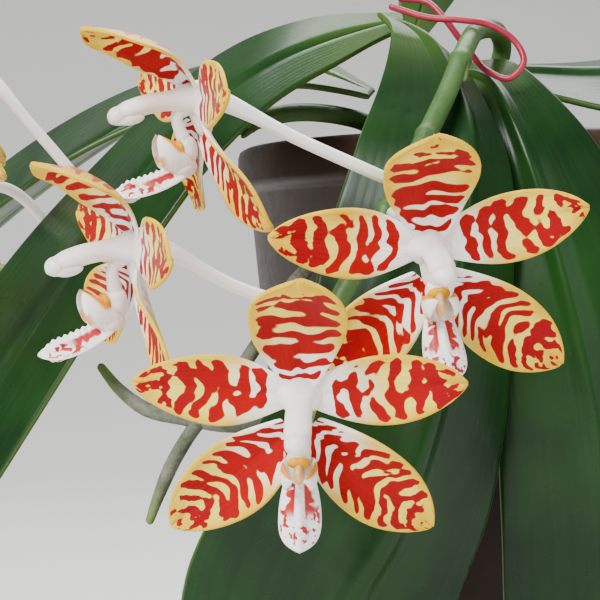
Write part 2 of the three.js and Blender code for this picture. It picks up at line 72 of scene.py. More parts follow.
# Each leaf: its midrib, and how far its two halves reach from it at full width
LEAVES = {
    "leaf_centre": {
        "rib": [(-31, -56, 169.3), (-26, -61, 165.5), (-21, -71, 154), (-20, -78, 145), (-22, -84, 128),
                (-26.5, -87, 102), (-33.5, -87, 81), (-40, -85, 69), (-49, -79, 44), (-56, -70, 18)],
        "low": [(-12, 2, 4), (-25, 4, 1), (-24, 4, 2), (-31, 6, 3), (-29, 8, 3), (-27, 9, 3)],
        "high": [(11, -1, -7), (10, 11, -6), (12, 15, -2), (17, 13, -1), (23, 10, -3), (24, 9, -3)],
    },
    "leaf_left_front": {
        "rib": [(-32.5, -49.5, 170), (-42, -53, 167.3), (-55, -57, 161.6), (-66, -61, 153), (-77.5, -65, 140),
                (-88.5, -67, 126), (-98.5, -68, 111), (-109.5, -68, 93), (-122, -65, 70), (-136, -60, 47)],
        "low": [(0, -8, -11), (3, -12, -11), (6, -9, -9), (7, -10, -8), (8, -12, -8), (10, -12, -8)],
        "high": [(-2, 10, 10), (-6, 19, 9), (-8, 20, 7), (-10, 18, 8), (-12, 18, 10), (-14, 18, 12)],
    },
    "leaf_left_back": {
        "rib": [(-37.5, -40, 159), (-48, -29, 164), (-73, -15, 160), (-98, -8, 146), (-128, -3, 120),
                (-150, 0, 88)],
        "low": [(-4, -10, -6), (-6, -18, -8), (-8, -22, -8), (-10, -24, -8), (-10, -23, -6), (-8, -22, -4)],
        "high": [(4, 12, 4), (-2, 24, 8), (-6, 25, 8), (-8, 24, 8), (-8, 24, 8), (-6, 23, 6)],
    },
    "leaf_right_front": {
        "rib": [(-21.5, -49, 160.2), (-15.5, -55.5, 159.5), (-10, -65.4, 147.5), (-5, -69, 131),
                (-1.5, -71, 117), (3, -71, 95), (6, -69, 67), (7, -65, 40), (6, -60, 14)],
        "low": [(-4, -6, -8), (-12, 4, -2), (-16, 3, 0), (-19, 4, 0), (-22, 5, 0), (-22, 5, 0)],
        "high": [(7, 6, 8), (15, 5, 8), (20, 4, 8), (24, 8, 3), (24, 8, 2), (24, 8, 0)],
    },
    "leaf_right_back": {
        "rib": [(-22.5, -36.5, 160.5), (-10, -27, 163.5), (8, -25, 163.5), (40, -22, 165), (67, -20, 158),
                (90, -16, 141), (107, -13, 117), (118, -12, 90)],
        "low": [(4, -10, -2), (4, -19, -12), (4, -25, -12), (-2, -26, -8), (-6, -25, -5), (-8, -24, -2)],
        "high": [(-2, 12, 3), (0, 22, 5), (2, 25, 6), (2, 26, 6), (2, 25, 6), (2, 24, 4)],
    },
    "leaf_young": {
        "rib": [(-28, -43.5, 168.5), (-25, -39, 178), (-20, -29, 195), (-14, -15, 211), (-8, 0, 221)],
        "low": [(-7, -2, 0), (-9, -3, 1), (-10, -3, 2), (-10, -3, 2)],
        "high": [(7, 4, -2), (9, 5, -3), (9, 6, -3), (9, 6, -3)],
    },
}
LEAF_OUTLINE = {"claw": 0.34, "peak": 0.46, "fullness": 2.5, "tip": 0.6}
LEAF_GROOVE = 0.07
LEAF_WAVE = 0.5
CLASP = {"until": 0.07, "pinch": 0.55, "depth": 3.5}

SPIKES = {
    "front": [(-25, -44.5, 152), (-18, -44, 157), (-12.5, -43, 161.5), (-11, -44, 166), (-12.5, -49, 168.8),
              (-17, -58, 167.6), (-20, -68, 163), (-24, -76, 154), (-28, -81.5, 146), (-31.3, -86, 140),
              (-34, -89.5, 135), (-38, -92.5, 127), (-42, -94, 120), (-45, -95.5, 114), (-46.5, -98, 108)],
    "back": [(-32.5, -37.5, 151), (-39, -40, 153.5), (-50, -41, 154.5), (-62, -41, 151.5), (-75, -42, 146),
             (-88, -43, 137), (-95, -42, 123), (-101, -41, 110)],
}
SPIKE_JOINTS = {"front": (0.44, 0.6, 0.75), "back": (0.3, 0.5, 0.78)}
SPIKE_RADIUS = 1.75
BUDS = {
    "bud_front": {"line": [(-46.6, -100, 106.6), (-47, -103, 103), (-48, -106, 99.5)], "length": 7},
    "bud_back": {"line": [(-99, -39.5, 121), (-103, -38, 124.5), (-107, -37, 125)], "length": 9},
}
WIRE_LINE = [(-33, -59.5, 172), (-26, -61.5, 169.6), (-20, -62.8, 169), (-14.8, -63, 168), (-10.5, -63, 165),
             (-9.2, -64, 161.3), (-11.7, -63.5, 158.5), (-15.3, -61.5, 160), (-17, -59.5, 162),
             (-19, -57, 165), (-22.8, -56, 170.3), (-25.8, -54, 173.5), (-31, -52, 174.5)]
BRACT_LEAN = (0.4, -0.5, -0.75)
STEM_RADIUS = 5.2
ROOT_RADIUS = 1.3
BUD_STALK_RADIUS = 0.95
WIRE_RADIUS = 0.6

# Flowers: each is set by its middle, the way it faces and how its parts lean, in degrees. A tepal has its
# lean from the way the flower faces, at its base and tip, and its place round the face
TEPAL_OUTLINES = {
    "dorsal": {"length": 22, "half_width": 7.2, "claw": 0.34, "peak": 0.6, "fullness": 2.8, "tip": 0.6,
               "cup": (0.3, 0.3), "fold": 0.35, "beak": 1.1},
    "petal": {"length": 23.2, "half_width": 5.5, "claw": 0.36, "peak": 0.45, "fullness": 2, "tip": 0.7,
              "cup": (0.1, 0.1), "fold": 0.22, "beak": 0},
    "lateral": {"length": 24.5, "half_width": 6, "claw": 0.4, "peak": 0.48, "fullness": 2.2, "tip": 0.72,
                "cup": (0.42, 0.1), "fold": 0.22, "beak": 0},
}
TEPAL_START = 1.6
TEPAL_WAVE = 0.35
TEPAL_GROOVE = 0.14
BEAK_WIDTH = 0.26
FACING = {"turn": 2, "nod": 16, "roll": 0, "dorsal": (85, 30), "hood_twist": 0, "petal": (84, 88),
          "petal_around": 84, "twist": 0,
          "lateral": (88, 96), "lateral_around": 131, "droop": 13, "lip": 45, "foot": 8, "chin_lean": 0}
SIDEWAYS = {"turn": 70, "nod": 2, "roll": -8, "dorsal": (66, -12), "hood_twist": 12, "petal": (84, 84),
            "petal_around": 85, "twist": 16, "lateral": (98, 106), "lateral_around": 127, "droop": 12,
            "lip": 4, "foot": 10.2, "chin_lean": 6}
BLOOMS = {
    "bloom_1": {**SIDEWAYS, "dorsal": (54, -2), "lip": 0, "chin_lean": 18, "at": (-65.9, -97.4, 151.5),
                "spike": "front", "joint": 0.7, "by": (-48.5, -92, 145)},
    "bloom_2": {**SIDEWAYS, "dorsal": (70, -2), "turn": 68, "roll": -11, "lateral_around": 122,
                "lateral": (86, 92), "at": (-74.5, -108.8, 127.3), "spike": "front", "joint": 0.92,
                "by": (-58.5, -100, 120.8)},
    "bloom_3": {**FACING, "turn": -6, "roll": 6, "petal_around": 80, "droop": 4, "lip": 32, "foot": 6.4,
                "at": (-29.5, -119, 127), "spike": "front", "joint": 0.75, "by": (-31, -103, 132)},
    "bloom_4": {**FACING, "dorsal": (88, 36), "at": (-49, -126, 105), "spike": "front", "joint": 0.985,
                "by": (-49, -111, 106)},
    "bloom_5": {**SIDEWAYS, "turn": 82, "lateral_around": 118, "at": (-110.3, -46.4, 159.8), "spike": "back",
                "joint": 0.66, "by": (-98.5, -45.6, 150.8)},
    "bloom_6": {**SIDEWAYS, "turn": 74, "at": (-121, -59, 136.5), "spike": "back", "joint": 0.77,
                "by": (-103.5, -51.3, 139.7)},
}
# Bars is a share of the user's number, Bow how far a bar's ends lag behind its middle, Cover how much is red,
# Break how unevenly the bars lie, and Pieces how often one breaks across the blade. The marks lie between
# Bare Base and Bare Tip
MARKS = {
    "dorsal": {"Bars": 1.0, "Bow": 0.06, "Cover": 0.68, "Bare Base": 0.02, "Bare Tip": 0.95, "Break": 0.20,
               "Pieces": 1.2},
    "petal": {"Bars": 1.0, "Bow": 0.05, "Cover": 0.58, "Bare Base": 0.10, "Bare Tip": 1.10, "Break": 0.24,
              "Pieces": 1.9},
    "lateral": {"Bars": 1.25, "Bow": 0.13, "Cover": 0.62, "Bare Base": -0.04, "Bare Tip": 1.02, "Break": 0.18,
                "Pieces": 1.9},
}
CHIN = 4
LIP = {"ahead": 3.95, "foot_radius": 1.35, "lobe_length": 13.4, "lobe_half_width": 3.2, "side_height": 6.6,
       "side_half_width": 2.5, "side_lean": 2.4}
MIDLOBE_OUTLINE = {"claw": 0.5, "peak": 0.62, "fullness": 2.4, "tip": 0.6}
SIDELOBE_OUTLINE = {"claw": 0.8, "peak": 0.2, "fullness": 1.4, "tip": 0.65}
COLUMN_LENGTH = 14.8
COLUMN_ARCH = [(-3.2, 0.3), (3, -0.4), (8.2, -0.75), (12, -0.25), (COLUMN_LENGTH, 0.65)]
ANTHER_RADII = (1.85, 1.75, 1.55)
WING_RADII = (0.6, 2.2, 0.9)

# How the pot is holed and its bark laid
RIM_STEP = 2.5
DRAIN_HOLES = 6
DRAIN_CIRCLE = 27
DRAIN_RADIUS = 4.5
BARK_FOOT, BARK_SHOULDER, BARK_SHOULDER_LEVEL = 41.9, 56.4, 141
BARK_SEED = 11
CHIP_TRIES = 30
CHIP_REACH = 44
CHIP_SPACING = 5.0
CHIP_LEVEL = 137.0

# Tints that go with the user's colours
BLUSH = (0.86, 0.72, 0.66)
STALK_GREEN = (0.42, 0.52, 0.24)
SPECK_TAN = (0.55, 0.25, 0.08)
CALLUS_DARK, CALLUS_LIGHT = (0.62, 0.36, 0.12), (0.88, 0.62, 0.26)
# The paler green of a leaf's base: partly the base's own colour, partly painted light falling from above near
# the crown
LEAF_FOOT_PALE_AND_LIT = (0.060, 0.125, 0.020)
ROOT_TIP = (0.13, 0.20, 0.05)
BRACT_DARK, BRACT_LIGHT = (0.050, 0.095, 0.022), (0.12, 0.16, 0.045)
BUD_YELLOW = (0.42, 0.44, 0.13)
WIRE_LIGHT = (0.33, 0.024, 0.050)
PAPER_SHADE = (0.6, 0.6, 0.6)
SKY_TINT = (0.93, 0.95, 1.0)

# How much a step along X, Y and Z changes the bars from one tepal to the next
TEPAL_SEEDS = (23.0, 17.0, 31.0)

# The studio, in metres: the floor's rise behind the pot, and each light's size, place and aim
SENSOR_WIDTH = 36.0
FLOOR_SWEEP = [(-1.6, 0.0), (0.7, 0.0), (1.0, 0.03), (1.25, 0.14), (1.42, 0.36), (1.5, 0.7), (1.5, 2.2)]
FLOOR_WIDTH = 4.8
TOP_SHARE = 0.6
LIGHTS = {
    "key_light": (0.55, (-0.55, -0.75, 0.75), (-0.04, -0.08, 0.11)),
    "fill_light": (0.8, (0.8, -0.6, 0.4), (-0.03, -0.06, 0.11)),
    "top_light": (0.7, (0.1, 0.35, 0.95), (-0.02, -0.02, 0.12)),
}


# Sizes and colours that a user would change

def colour(name, description, default):
    """A colour property."""
    return bpy.props.FloatVectorProperty(name=name, description=description, default=default,
                                         subtype="COLOR", size=3, min=0.0, max=1.0)


def length(name, description, default):
    """A length property in metres."""
    return bpy.props.FloatProperty(name=name, description=description, default=default, min=0.0,
                                   subtype="DISTANCE", unit="LENGTH")


def share(name, description, default, highest=1.0):
    """A plain number property."""
    return bpy.props.FloatProperty(name=name, description=description, default=default, min=0.0, max=highest)


class PotSettings(bpy.types.PropertyGroup):
    """The pot and what it holds"""
    height: length("Height", "Height of the pot", 0.150)
    rim_radius: length("Rim radius", "Radius of the rim's outside", 0.062)
    foot_radius: length("Foot radius", "Radius of the pot's foot", 0.045)
    wall: length("Wall", "Thickness of the pot's wall", 0.0024)
    rim_height: length("Rim height", "Height of the rim's band", 0.009)
    plastic: colour("Plastic", "Colour of the pot", (0.022, 0.011, 0.007))
    bark_dark: colour("Dark bark", "Colour of damp bark", (0.035, 0.016, 0.008))
    bark_light: colour("Light bark", "Colour of dry bark", (0.20, 0.095, 0.045))
    chips: bpy.props.IntProperty(name="Chips", description="How many bark chips lie on top", default=150,
                                 min=0)


class PlantSettings(bpy.types.PropertyGroup):
    """Leaves, roots and flower spikes"""
    leaf_thickness: length("Leaf thickness", "Thickness of a leaf", 0.0013)
    leaf_dark: colour("Deep green", "Darkest green of a leaf's upper side", (0.0022, 0.0120, 0.0032))
    leaf_light: colour("Light green", "Lightest green of a leaf's upper side", (0.0085, 0.042, 0.0060))
    leaf_under: colour("Underside", "Colour of a leaf's underside", (0.050, 0.105, 0.034))
    leaf_edge: colour("Leaf edge", "Colour of a leaf's edge", (0.075, 0.14, 0.03))
    root_skin: colour("Root skin", "Colour of dry root skin", (0.21, 0.21, 0.165))
    root_green: colour("Root green", "Green that shows through damp root skin", (0.060, 0.085, 0.040))
    spike_green: colour("Spike green", "Colour of a flower spike", (0.036, 0.084, 0.018))
    wire_red: colour("Wire", "Colour of the tie wire's coating", (0.27, 0.012, 0.030))


class FlowerSettings(bpy.types.PropertyGroup):
    """The flowers' colours and markings"""
    tepal_thickness: length("Tepal thickness", "Thickness of a petal or sepal", 0.0007)
    white: colour("White", "Colour of the column and the tepals' bases", (0.93, 0.89, 0.86))
    cream: colour("Cream", "Ground colour of the tepals", (0.88, 0.68, 0.09))
    yellow: colour("Yellow", "Colour of the tepals' edges and tips", (0.69, 0.395, 0.0))
    red: colour("Red", "Colour of the bars", (0.43, 0.002, 0.002))
    deep_red: colour("Deep red", "Darkest part of the bars", (0.27, 0.0, 0.001))
    crimson: colour("Crimson", "Colour of the bars near the tips", (0.27, 0.001, 0.007))
    orange: colour("Orange", "Colour of the lip's crest and side lobes", (0.76, 0.25, 0.0))
    bars: share("Bars", "How many bars cross a tepal", 8.0, 40.0)


class StageSettings(bpy.types.PropertyGroup):
    """Camera, floor and lights"""
    lens: share("Lens", "Focal length in millimetres on a 36 mm sensor", 120.0, 400.0)
    camera_place: bpy.props.FloatVectorProperty(name="Camera", description="Where the camera stands",
                                                default=(-0.049, -0.420, 0.119), subtype="TRANSLATION",
                                                unit="LENGTH", size=3)
    floor_colour: colour("Floor", "Colour of the floor and backdrop", (0.80, 0.79, 0.77))
    key_power: share("Key light", "Power of the main light in watts", 24.0, 1000.0)
    fill_power: share("Fill light", "Power of the soft light on the other side in watts", 3.5, 1000.0)
    sky: share("Sky", "Strength of the light all round", 0.30, 10.0)


# Lines and surfaces

LINE_STEPS = 200
CAP_RINGS = 5
SPINE_STEPS = 24
THINNEST = 0.035
MERGE_DISTANCE = 2e-6


def mix(low, high, at):
    """Between two values."""
    return low + (high - low) * at


def ramp(low, high, value):
    """A smooth step from 0 at low to 1 at high."""
    at = min(max((value - low) / (high - low), 0.0), 1.0)
    return at * at * (3 - 2 * at)


def ridge(value, width):
    """A smooth ridge, 1 where a value is 0 and gone a few widths away."""
    return math.exp(-(value / width) ** 2)


def rounded(t, first, last):
    """A share that rises to 1 over the first part of a length and falls to 0 over the last."""
    return math.sin(math.pi / 2 * min(t / first, (1 - t) / last, 1.0))


def turned(axis, about, angle):
    """axis turned about another by an angle in degrees."""
    return Quaternion(about, math.radians(angle)) @ axis


class Line:
    """A smooth line through points, read by part or by distance along it."""

    def __init__(self, points):
        self.points = [Vector(p) for p in points]
        self.lengths = [0.0]
        last = self.by_part(0.0)
        for k in range(1, LINE_STEPS + 1):
            here = self.by_part(k / LINE_STEPS)
            self.lengths.append(self.lengths[-1] + (here - last).length)
            last = here

    @property
    def length(self):
        return self.lengths[-1]

    def by_part(self, at):
        """The point at a share of the line's stretches, however long each is."""
        points = self.points
        last = len(points) - 1
        place = min(max(at, 0.0), 1.0) * last
        k = min(int(place), last - 1)
        w = place - k
        b, c = points[k], points[k + 1]
        a = points[k - 1] if k > 0 else 2 * points[0] - points[1]
        d = points[k + 2] if k + 2 <= last else 2 * points[-1] - points[-2]
        ab, bc, cd = (max((q - p).length, 1e-8) ** 0.5 for p, q in ((a, b), (b, c), (c, d)))
        leaving = ((b - a) / ab - (c - a) / (ab + bc) + (c - b) / bc) * bc
        arriving = ((c - b) / bc - (d - b) / (bc + cd) + (d - c) / cd) * bc
        return (b + leaving * w + (-3 * b + 3 * c - 2 * leaving - arriving) * w * w
                + (2 * b - 2 * c + leaving + arriving) * w ** 3)

    def along(self, at):
        """The point at a share of the line's length."""
        wanted = min(max(at, 0.0), 1.0) * self.length
        low, high = 0, LINE_STEPS
        while high - low > 1:
            half = (low + high) // 2
            if self.lengths[half] <= wanted:
                low = half
            else:
                high = half
        step = self.lengths[high] - self.lengths[low]
        return self.by_part((low + (wanted - self.lengths[low]) / max(step, 1e-9)) / LINE_STEPS)

    def heading(self, at):
        """The direction of the line at a share of its length."""
        return (self.along(min(at + 1e-3, 1.0)) - self.along(max(at - 1e-3, 0.0))).normalized()


def width_share(v, outline):
    """A blade's half-width along it, from a claw at the base through its widest place to the tip."""
    peak = outline["peak"]
    rise = outline["claw"] + (1 - outline["claw"]) * math.sin(math.pi / 2 * min(v / peak, 1.0))
    fall = (1 - ((v - peak) / (1 - peak)) ** outline["fullness"]) ** outline["tip"] if v > peak else 1.0
    return max(rise * fall, THINNEST)


def leaf_surface(leaf, fold):
    """A leaf's surface(u, v): its base clasps the stem, a groove follows its rib and its halves wave."""
    rib, low, high = (Line(leaf[key]) for key in ("rib", "low", "high"))

    def surface(u, v):
        reach = (low if u < 0 else high).by_part(v)
        side = abs(u)
        arch = 1 + 0.08 * math.sin(math.pi * side)
        clasp = 1 - ramp(0.0, CLASP["until"], v)
        width = width_share(v, LEAF_OUTLINE) * (1 - CLASP["pinch"] * clasp)
        here = rib.along(v) - rib.heading(0.0) * (CLASP["depth"] * clasp) + reach * (side * arch * width)
        up = (high.by_part(v) - low.by_part(v)).cross(rib.heading(v)).normalized()
        groove = -fold * ridge(u, LEAF_GROOVE) * ramp(0.0, 0.06, v)
        wave = LEAF_WAVE * side * math.sin(11 * v + 2.2 * u) * ramp(0.05, 0.3, v)
        return here + up * (groove + wave)

    return surface


def bloom_axes(bloom):
    """The directions forward, right and up of a flower's face."""
    spin = Matrix.Rotation(math.radians(-bloom["turn"]), 3, "Z")
    nod = math.radians(bloom["nod"])
    forward = spin @ Vector((0, -math.cos(nod), -math.sin(nod)))
    right = turned(spin @ Vector((1, 0, 0)), forward, bloom["roll"])
    return forward, right, forward.cross(right)


def nodded_axes(bloom, angle):
    """A flower's right, ahead and above, nodded about right by an angle."""
    forward, right, up = bloom_axes(bloom)
    return right, turned(forward, right, angle), turned(up, right, angle)


def chin_point(bloom, below):
    """A point on the short line down from a flower's middle that its lower sepals grow from."""
    _, right, up = bloom_axes(bloom)
    return Vector(bloom["at"]) - turned(up, right, bloom["chin_lean"]) * below


def foot_point(bloom, below):
    """A point on the line, parallel to the chin and ahead of it, that the lip hangs from."""
    return chin_point(bloom, below) + bloom_axes(bloom)[0] * LIP["ahead"]


def column_point(bloom, ahead, below):
    """A point by its distances ahead along the column and below it."""
    _, onward, above = nodded_axes(bloom, bloom["droop"])
    return Vector(bloom["at"]) + onward * ahead - above * below


def stalk_points(bloom):
    """The pedicel's line from the spike to the flower's middle."""
    forward = bloom_axes(bloom)[0]
    start = Line(SPIKES[bloom["spike"]]).along(bloom["joint"])
    heading = (Vector(bloom["by"]) - start).normalized()
    centre = Vector(bloom["at"])
    return [start + heading * (SPIKE_RADIUS + 0.5), bloom["by"],
            *(centre + forward * ahead for ahead in (-3.2, -1.2, 1.5))]


def tepal_surface(bloom, kind, around):
    """A tepal's surface(u, v), set round the flower's face by an angle."""
    forward, right, up = bloom_axes(bloom)
    outline = TEPAL_OUTLINES[kind]
    lean = bloom[kind]
    twist = {"dorsal": bloom["hood_twist"], "petal": 0, "lateral": bloom["twist"]}[kind]
    angle = math.radians(around)
    outward = up * math.cos(angle) + right * math.sin(angle)
    side = up * -math.sin(angle) + right * math.cos(angle)

    def direction(v):
        heading = math.radians(mix(lean[0], lean[1], v))
        return forward * math.cos(heading) + outward * math.sin(heading)

    root = chin_point(bloom, CHIN) if kind == "lateral" else Vector(bloom["at"])
    spine = [root + outward * TEPAL_START]
    for k in range(SPINE_STEPS):
        spine.append(spine[k] + direction((k + 0.5) / SPINE_STEPS) * (outline["length"] / SPINE_STEPS))
    line = Line(spine)

    def surface(u, v):
        half = outline["half_width"] * width_share(v, outline)
        along = direction(v)
        across = turned(side, along, math.copysign(1, around) * twist)
        normal = across.cross(along)
        lift = half * mix(*outline["cup"], v) * u * u + TEPAL_WAVE * abs(u) * math.sin(9 * v + 2 * u)
        groove = -outline["fold"] * ridge(u, TEPAL_GROOVE) * ramp(0.0, 0.15, v)
        hump = outline["beak"] * ridge(u, BEAK_WIDTH) * ramp(0.72, 0.86, v) * (1 - ramp(0.94, 1.0, v))
        return line.by_part(v) + across * (u * half) + normal * (lift + groove + hump)

    return surface


# Making meshes

def new_mesh():
    """An empty bmesh with a UV layer."""
    bm = bmesh.new()
    bm.loops.layers.uv.verify()
    return bm


def faces_of(verts):
    """The faces that meet some vertices."""
    return list(dict.fromkeys(face for vert in verts for face in vert.link_faces))


def facing(right, ahead, above):
    """The turn that takes X, Y and Z to three directions."""
    return Matrix((right, ahead, above)).transposed()


def add_sheet(bm, columns, rows, place, slot=0):
    """A grid laid on place(across, along), both from 0 to 1, which its UV map keeps."""
    made = bmesh.ops.create_grid(bm, x_segments=columns, y_segments=rows, size=1.0, calc_uvs=True)["verts"]
    for face in faces_of(made):
        face.material_index = slot
    for vert in made:
        vert.co = place((vert.co.x + 1) / 2, (vert.co.y + 1) / 2) * MM
    return made


def add_shell(bm, sides, rings, place, slot=0):
    """A closed round form: place(round, along), with a point at each end."""
    made = add_sheet(bm, sides, rings, place, slot)
    faces = faces_of(made)
    bmesh.ops.remove_doubles(bm, verts=made, dist=MERGE_DISTANCE)
    bmesh.ops.recalc_face_normals(bm, faces=[face for face in faces if face.is_valid])


def add_tube(bm, points, radius_at, sides, rings, shape=None, slot=0, side=None):
    """A tube along points, its ends rounded over. shape(round, along) scales its radius, round from side."""
    line = Line(points)
    first = radius_at(0.0) / line.length
    last = radius_at(1.0) / line.length
    cap = [math.pi / 2 * k / CAP_RINGS for k in range(CAP_RINGS)]
    stations = [(first * (1 - math.cos(angle)), math.sin(angle)) for angle in cap]
    stations += [(mix(first, 1 - last, k / rings), 1.0) for k in range(rings + 1)]
    stations += [(1 - last * (1 - math.cos(angle)), math.sin(angle)) for angle in reversed(cap)]
    frames = []
    across = side or line.heading(0.0).orthogonal()
    for at, swell in stations:
        heading = line.heading(at)
        across = (across - heading * across.dot(heading)).normalized()
        frames.append((line.along(at), across.copy(), heading.cross(across), radius_at(at) * swell, at))

    def place(round_at, along_at):
        centre, one_way, other_way, radius, at = frames[round(along_at * (len(frames) - 1))]
        angle = math.tau * round_at
        reach = radius * (shape(round_at, at) if shape else 1.0)
        return centre + (one_way * math.cos(angle) + other_way * math.sin(angle)) * reach

    add_shell(bm, sides, len(frames) - 1, place, slot)


def add_ball(bm, centre, radii, turn, sides=24, rings=16, shape=None, slot=0):
    """A ball with three radii, turned by a rotation. shape(direction) scales it."""

    def place(round_at, along_at):
        angle = math.tau * round_at
        tilt = math.pi * along_at
        ray = Vector((math.sin(tilt) * math.cos(angle), math.sin(tilt) * math.sin(angle), -math.cos(tilt)))
        swell = shape(ray) if shape else 1.0
        return Vector(centre) + turn @ Vector((ray.x * radii[0], ray.y * radii[1], ray.z * radii[2])) * swell

    add_shell(bm, sides, rings, place, slot)


def add_blade(bm, surface, columns, rows, side=None, slot=0):
    """An open blade on surface(u, v), u from -1 to 1; its front faces side where that is given."""
    faces = faces_of(add_sheet(bm, columns, rows, lambda a, v: surface(2 * a - 1, v), slot))
    if side is not None:
        for face in faces:
            face.normal_update()
        if sum(face.normal.dot(side) * face.calc_area() for face in faces) < 0:
            bmesh.ops.reverse_faces(bm, faces=faces)


def mesh_of(bm, name):
    """The mesh of a bmesh, which is used up."""
    mesh = bpy.data.meshes.new(name)
    bm.to_mesh(mesh)
    bm.free()
    return mesh


def place_object(name, data):
    """Puts a mesh, camera or light in the scene."""
    made = bpy.data.objects.new(name, data)
    bpy.context.scene.collection.objects.link(made)
    return made


def finish_piece(bm, name, materials, node):
    """Makes the object, in place, of a bmesh, and ties it to the frame."""
    mesh = mesh_of(bm, name)
    for material in materials:
        mesh.materials.append(material)
    mesh.shade_smooth()
    piece = place_object(name, mesh)
    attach(piece, "root")
    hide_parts(node)
    return piece


def thicken(piece, thickness):
    """Gives an open blade its thickness, with the next material on its back, and rounds its rim."""
    solid = piece.modifiers.new("Thickness", "SOLIDIFY")
    solid.thickness = thickness
    solid.offset = 0.0
    solid.use_even_offset = False
    solid.material_offset = 1
    smooth = piece.modifiers.new("Rounding", "SUBSURF")
    smooth.levels = 1
    smooth.render_levels = 1


def carve(piece, cut):
    """Takes the solids of a bmesh out of a piece."""
    cutter = place_object("cutter", mesh_of(cut, "cutter"))
    modifier = piece.modifiers.new("Holes", "BOOLEAN")
    modifier.object = cutter
    modifier.operation = "DIFFERENCE"
    modifier.solver = "MANIFOLD"
    shaped = bpy.data.meshes.new_from_object(piece.evaluated_get(bpy.context.evaluated_depsgraph_get()))
    piece.modifiers.clear()
    spent = [piece.data, cutter.data]
    piece.data = shaped
    shaped.name = piece.name
    bpy.data.objects.remove(cutter)
    for mesh in spent:
        bpy.data.meshes.remove(mesh)


# Node trees

def full(tint):
    """A colour as the four numbers that a socket takes; a node's output stays as it is."""
    return tint if isinstance(tint, bpy.types.NodeSocket) else (*tint, 1.0)


def lighter(tint):
    """The lighter of the two tones that a skin is mottled in."""
    return [1.5 * part for part in tint]


class Nodes:
    """Short calls that add and join the nodes of one tree."""

    def __init__(self, tree):
        self.tree = tree

    def add(self, kind, feeds=None, **settings):
        node = self.tree.nodes.new(kind)
        for key, value in settings.items():
            setattr(node, key, value)
        for key, value in (feeds or {}).items():
            self.feed(node.inputs[key], value)
        return node

    def feed(self, socket, value):
        """Joins a node's output to a socket, or sets the socket to a plain value."""
        if isinstance(value, bpy.types.NodeSocket):
            self.tree.links.new(value, socket)
        else:
            socket.default_value = value

    def math(self, operation, a, b=0.0, c=0.0, clamp=False):
        return self.add("ShaderNodeMath", {0: a, 1: b, 2: c}, operation=operation, use_clamp=clamp).outputs[0]

    def plus(self, a, b):
        return self.math("ADD", a, b)

    def times(self, a, b, clamp=False):
        return self.math("MULTIPLY", a, b, clamp=clamp)

    def fit(self, value, factor, shift, clamp=False):
        """A value times a factor, moved by a shift."""
        return self.math("MULTIPLY_ADD", value, factor, shift, clamp)

    def centred(self, value, reach):
        """A value from 0 to 1 as one from -reach to reach."""
        return self.fit(value, 2 * reach, -reach)

    def size_of(self, value):
        """A value without its sign."""
        return self.math("ABSOLUTE", value)

    def step(self, value, low, high, to_low=0.0, to_high=1.0):
        """A smooth step of a value between two places."""
        feeds = {"Value": value, "From Min": low, "From Max": high, "To Min": to_low, "To Max": to_high}
        return self.add("ShaderNodeMapRange", feeds, interpolation_type="SMOOTHSTEP").outputs["Result"]

    def between(self, value, rise, fall):
        """1 between two smooth steps, one up and one down, each given by its two places."""
        return self.times(self.step(value, *rise), self.step(value, *fall))

    def blend(self, at, low, high):
        """One colour into another."""
        return self.add("ShaderNodeMix", {0: at, 6: full(low), 7: full(high)}, data_type="RGBA").outputs[2]

    def noise(self, vector, scale, detail=2.0, roughness=0.5, distortion=0.0):
        feeds = {"Vector": vector, "Scale": scale, "Detail": detail, "Roughness": roughness,
                 "Distortion": distortion}
        return self.add("ShaderNodeTexNoise", feeds).outputs[0]

    def scaled(self, vector, scale):
        """A vector with each of its parts scaled."""
        return self.add("ShaderNodeMapping", {"Vector": vector, "Scale": scale}).outputs[0]

    def split(self, vector):
        """The X, Y and Z of a vector."""
        return self.add("ShaderNodeSeparateXYZ", {0: vector}).outputs

    def group(self, name, feeds):
        return self.add("ShaderNodeGroup", feeds, node_tree=bpy.data.node_groups[name]).outputs


class Finish(Nodes):
    """A new material's nodes, the sockets of its Principled shader and, where it has one, its mottle."""

    def __init__(self, name, mottle_scale=None):
        self.material = bpy.data.materials.new(name)
        self.material.use_nodes = True
        super().__init__(self.material.node_tree)
        self.shader = self.tree.nodes["Principled BSDF"].inputs
        places = self.add("ShaderNodeTexCoord").outputs
        self.place, self.uv = places["Object"], places["UV"]
        if mottle_scale:
            mottle = self.group("Mottle", {"Object": self.place, "Scale": mottle_scale})
            self.blotch, self.speck = mottle["Blotch"], mottle["Speck"]

    def pattern(self, name, feeds):
        """The outputs of a shared pattern laid along the piece."""
        return self.group(name, {"UV": self.uv, "Object": self.place, **feeds})

    def paint(self, tint, roughness, uneven):
        """Sets the colour, and a roughness that rises in specks."""
        self.feed(self.shader["Base Color"], tint)
        self.feed(self.shader["Roughness"], self.fit(self.speck, uneven, roughness))

    def soften(self, weight, red, green, blue):
        """Lets light into the tissue, as deep as is given in metres for each colour."""
        self.shader["Subsurface Weight"].default_value = weight
        self.shader["Subsurface Radius"].default_value = (red, green, blue)
        self.shader["Subsurface Scale"].default_value = 1.0

    def emboss(self, height, strength, distance):
        """Joins a height to the normal."""
        feeds = {"Height": height, "Strength": strength, "Distance": distance}
        self.feed(self.shader["Normal"], self.add("ShaderNodeBump", feeds).outputs[0])


def new_group(name, takes, gives):
    """A shader node group with its named sockets: takes maps a name to its default, None for a vector."""
    tree = bpy.data.node_groups.new(name, "ShaderNodeTree")
    for key, default in takes.items():
        kind = "NodeSocketVector" if default is None else "NodeSocketFloat"
        socket = tree.interface.new_socket(name=key, in_out="INPUT", socket_type=kind)
        if default is not None:
            socket.default_value = default
    for key in gives:
        tree.interface.new_socket(name=key, in_out="OUTPUT", socket_type="NodeSocketFloat")
    nodes = Nodes(tree)
    return nodes, nodes.add("NodeGroupInput").outputs, nodes.add("NodeGroupOutput").inputs


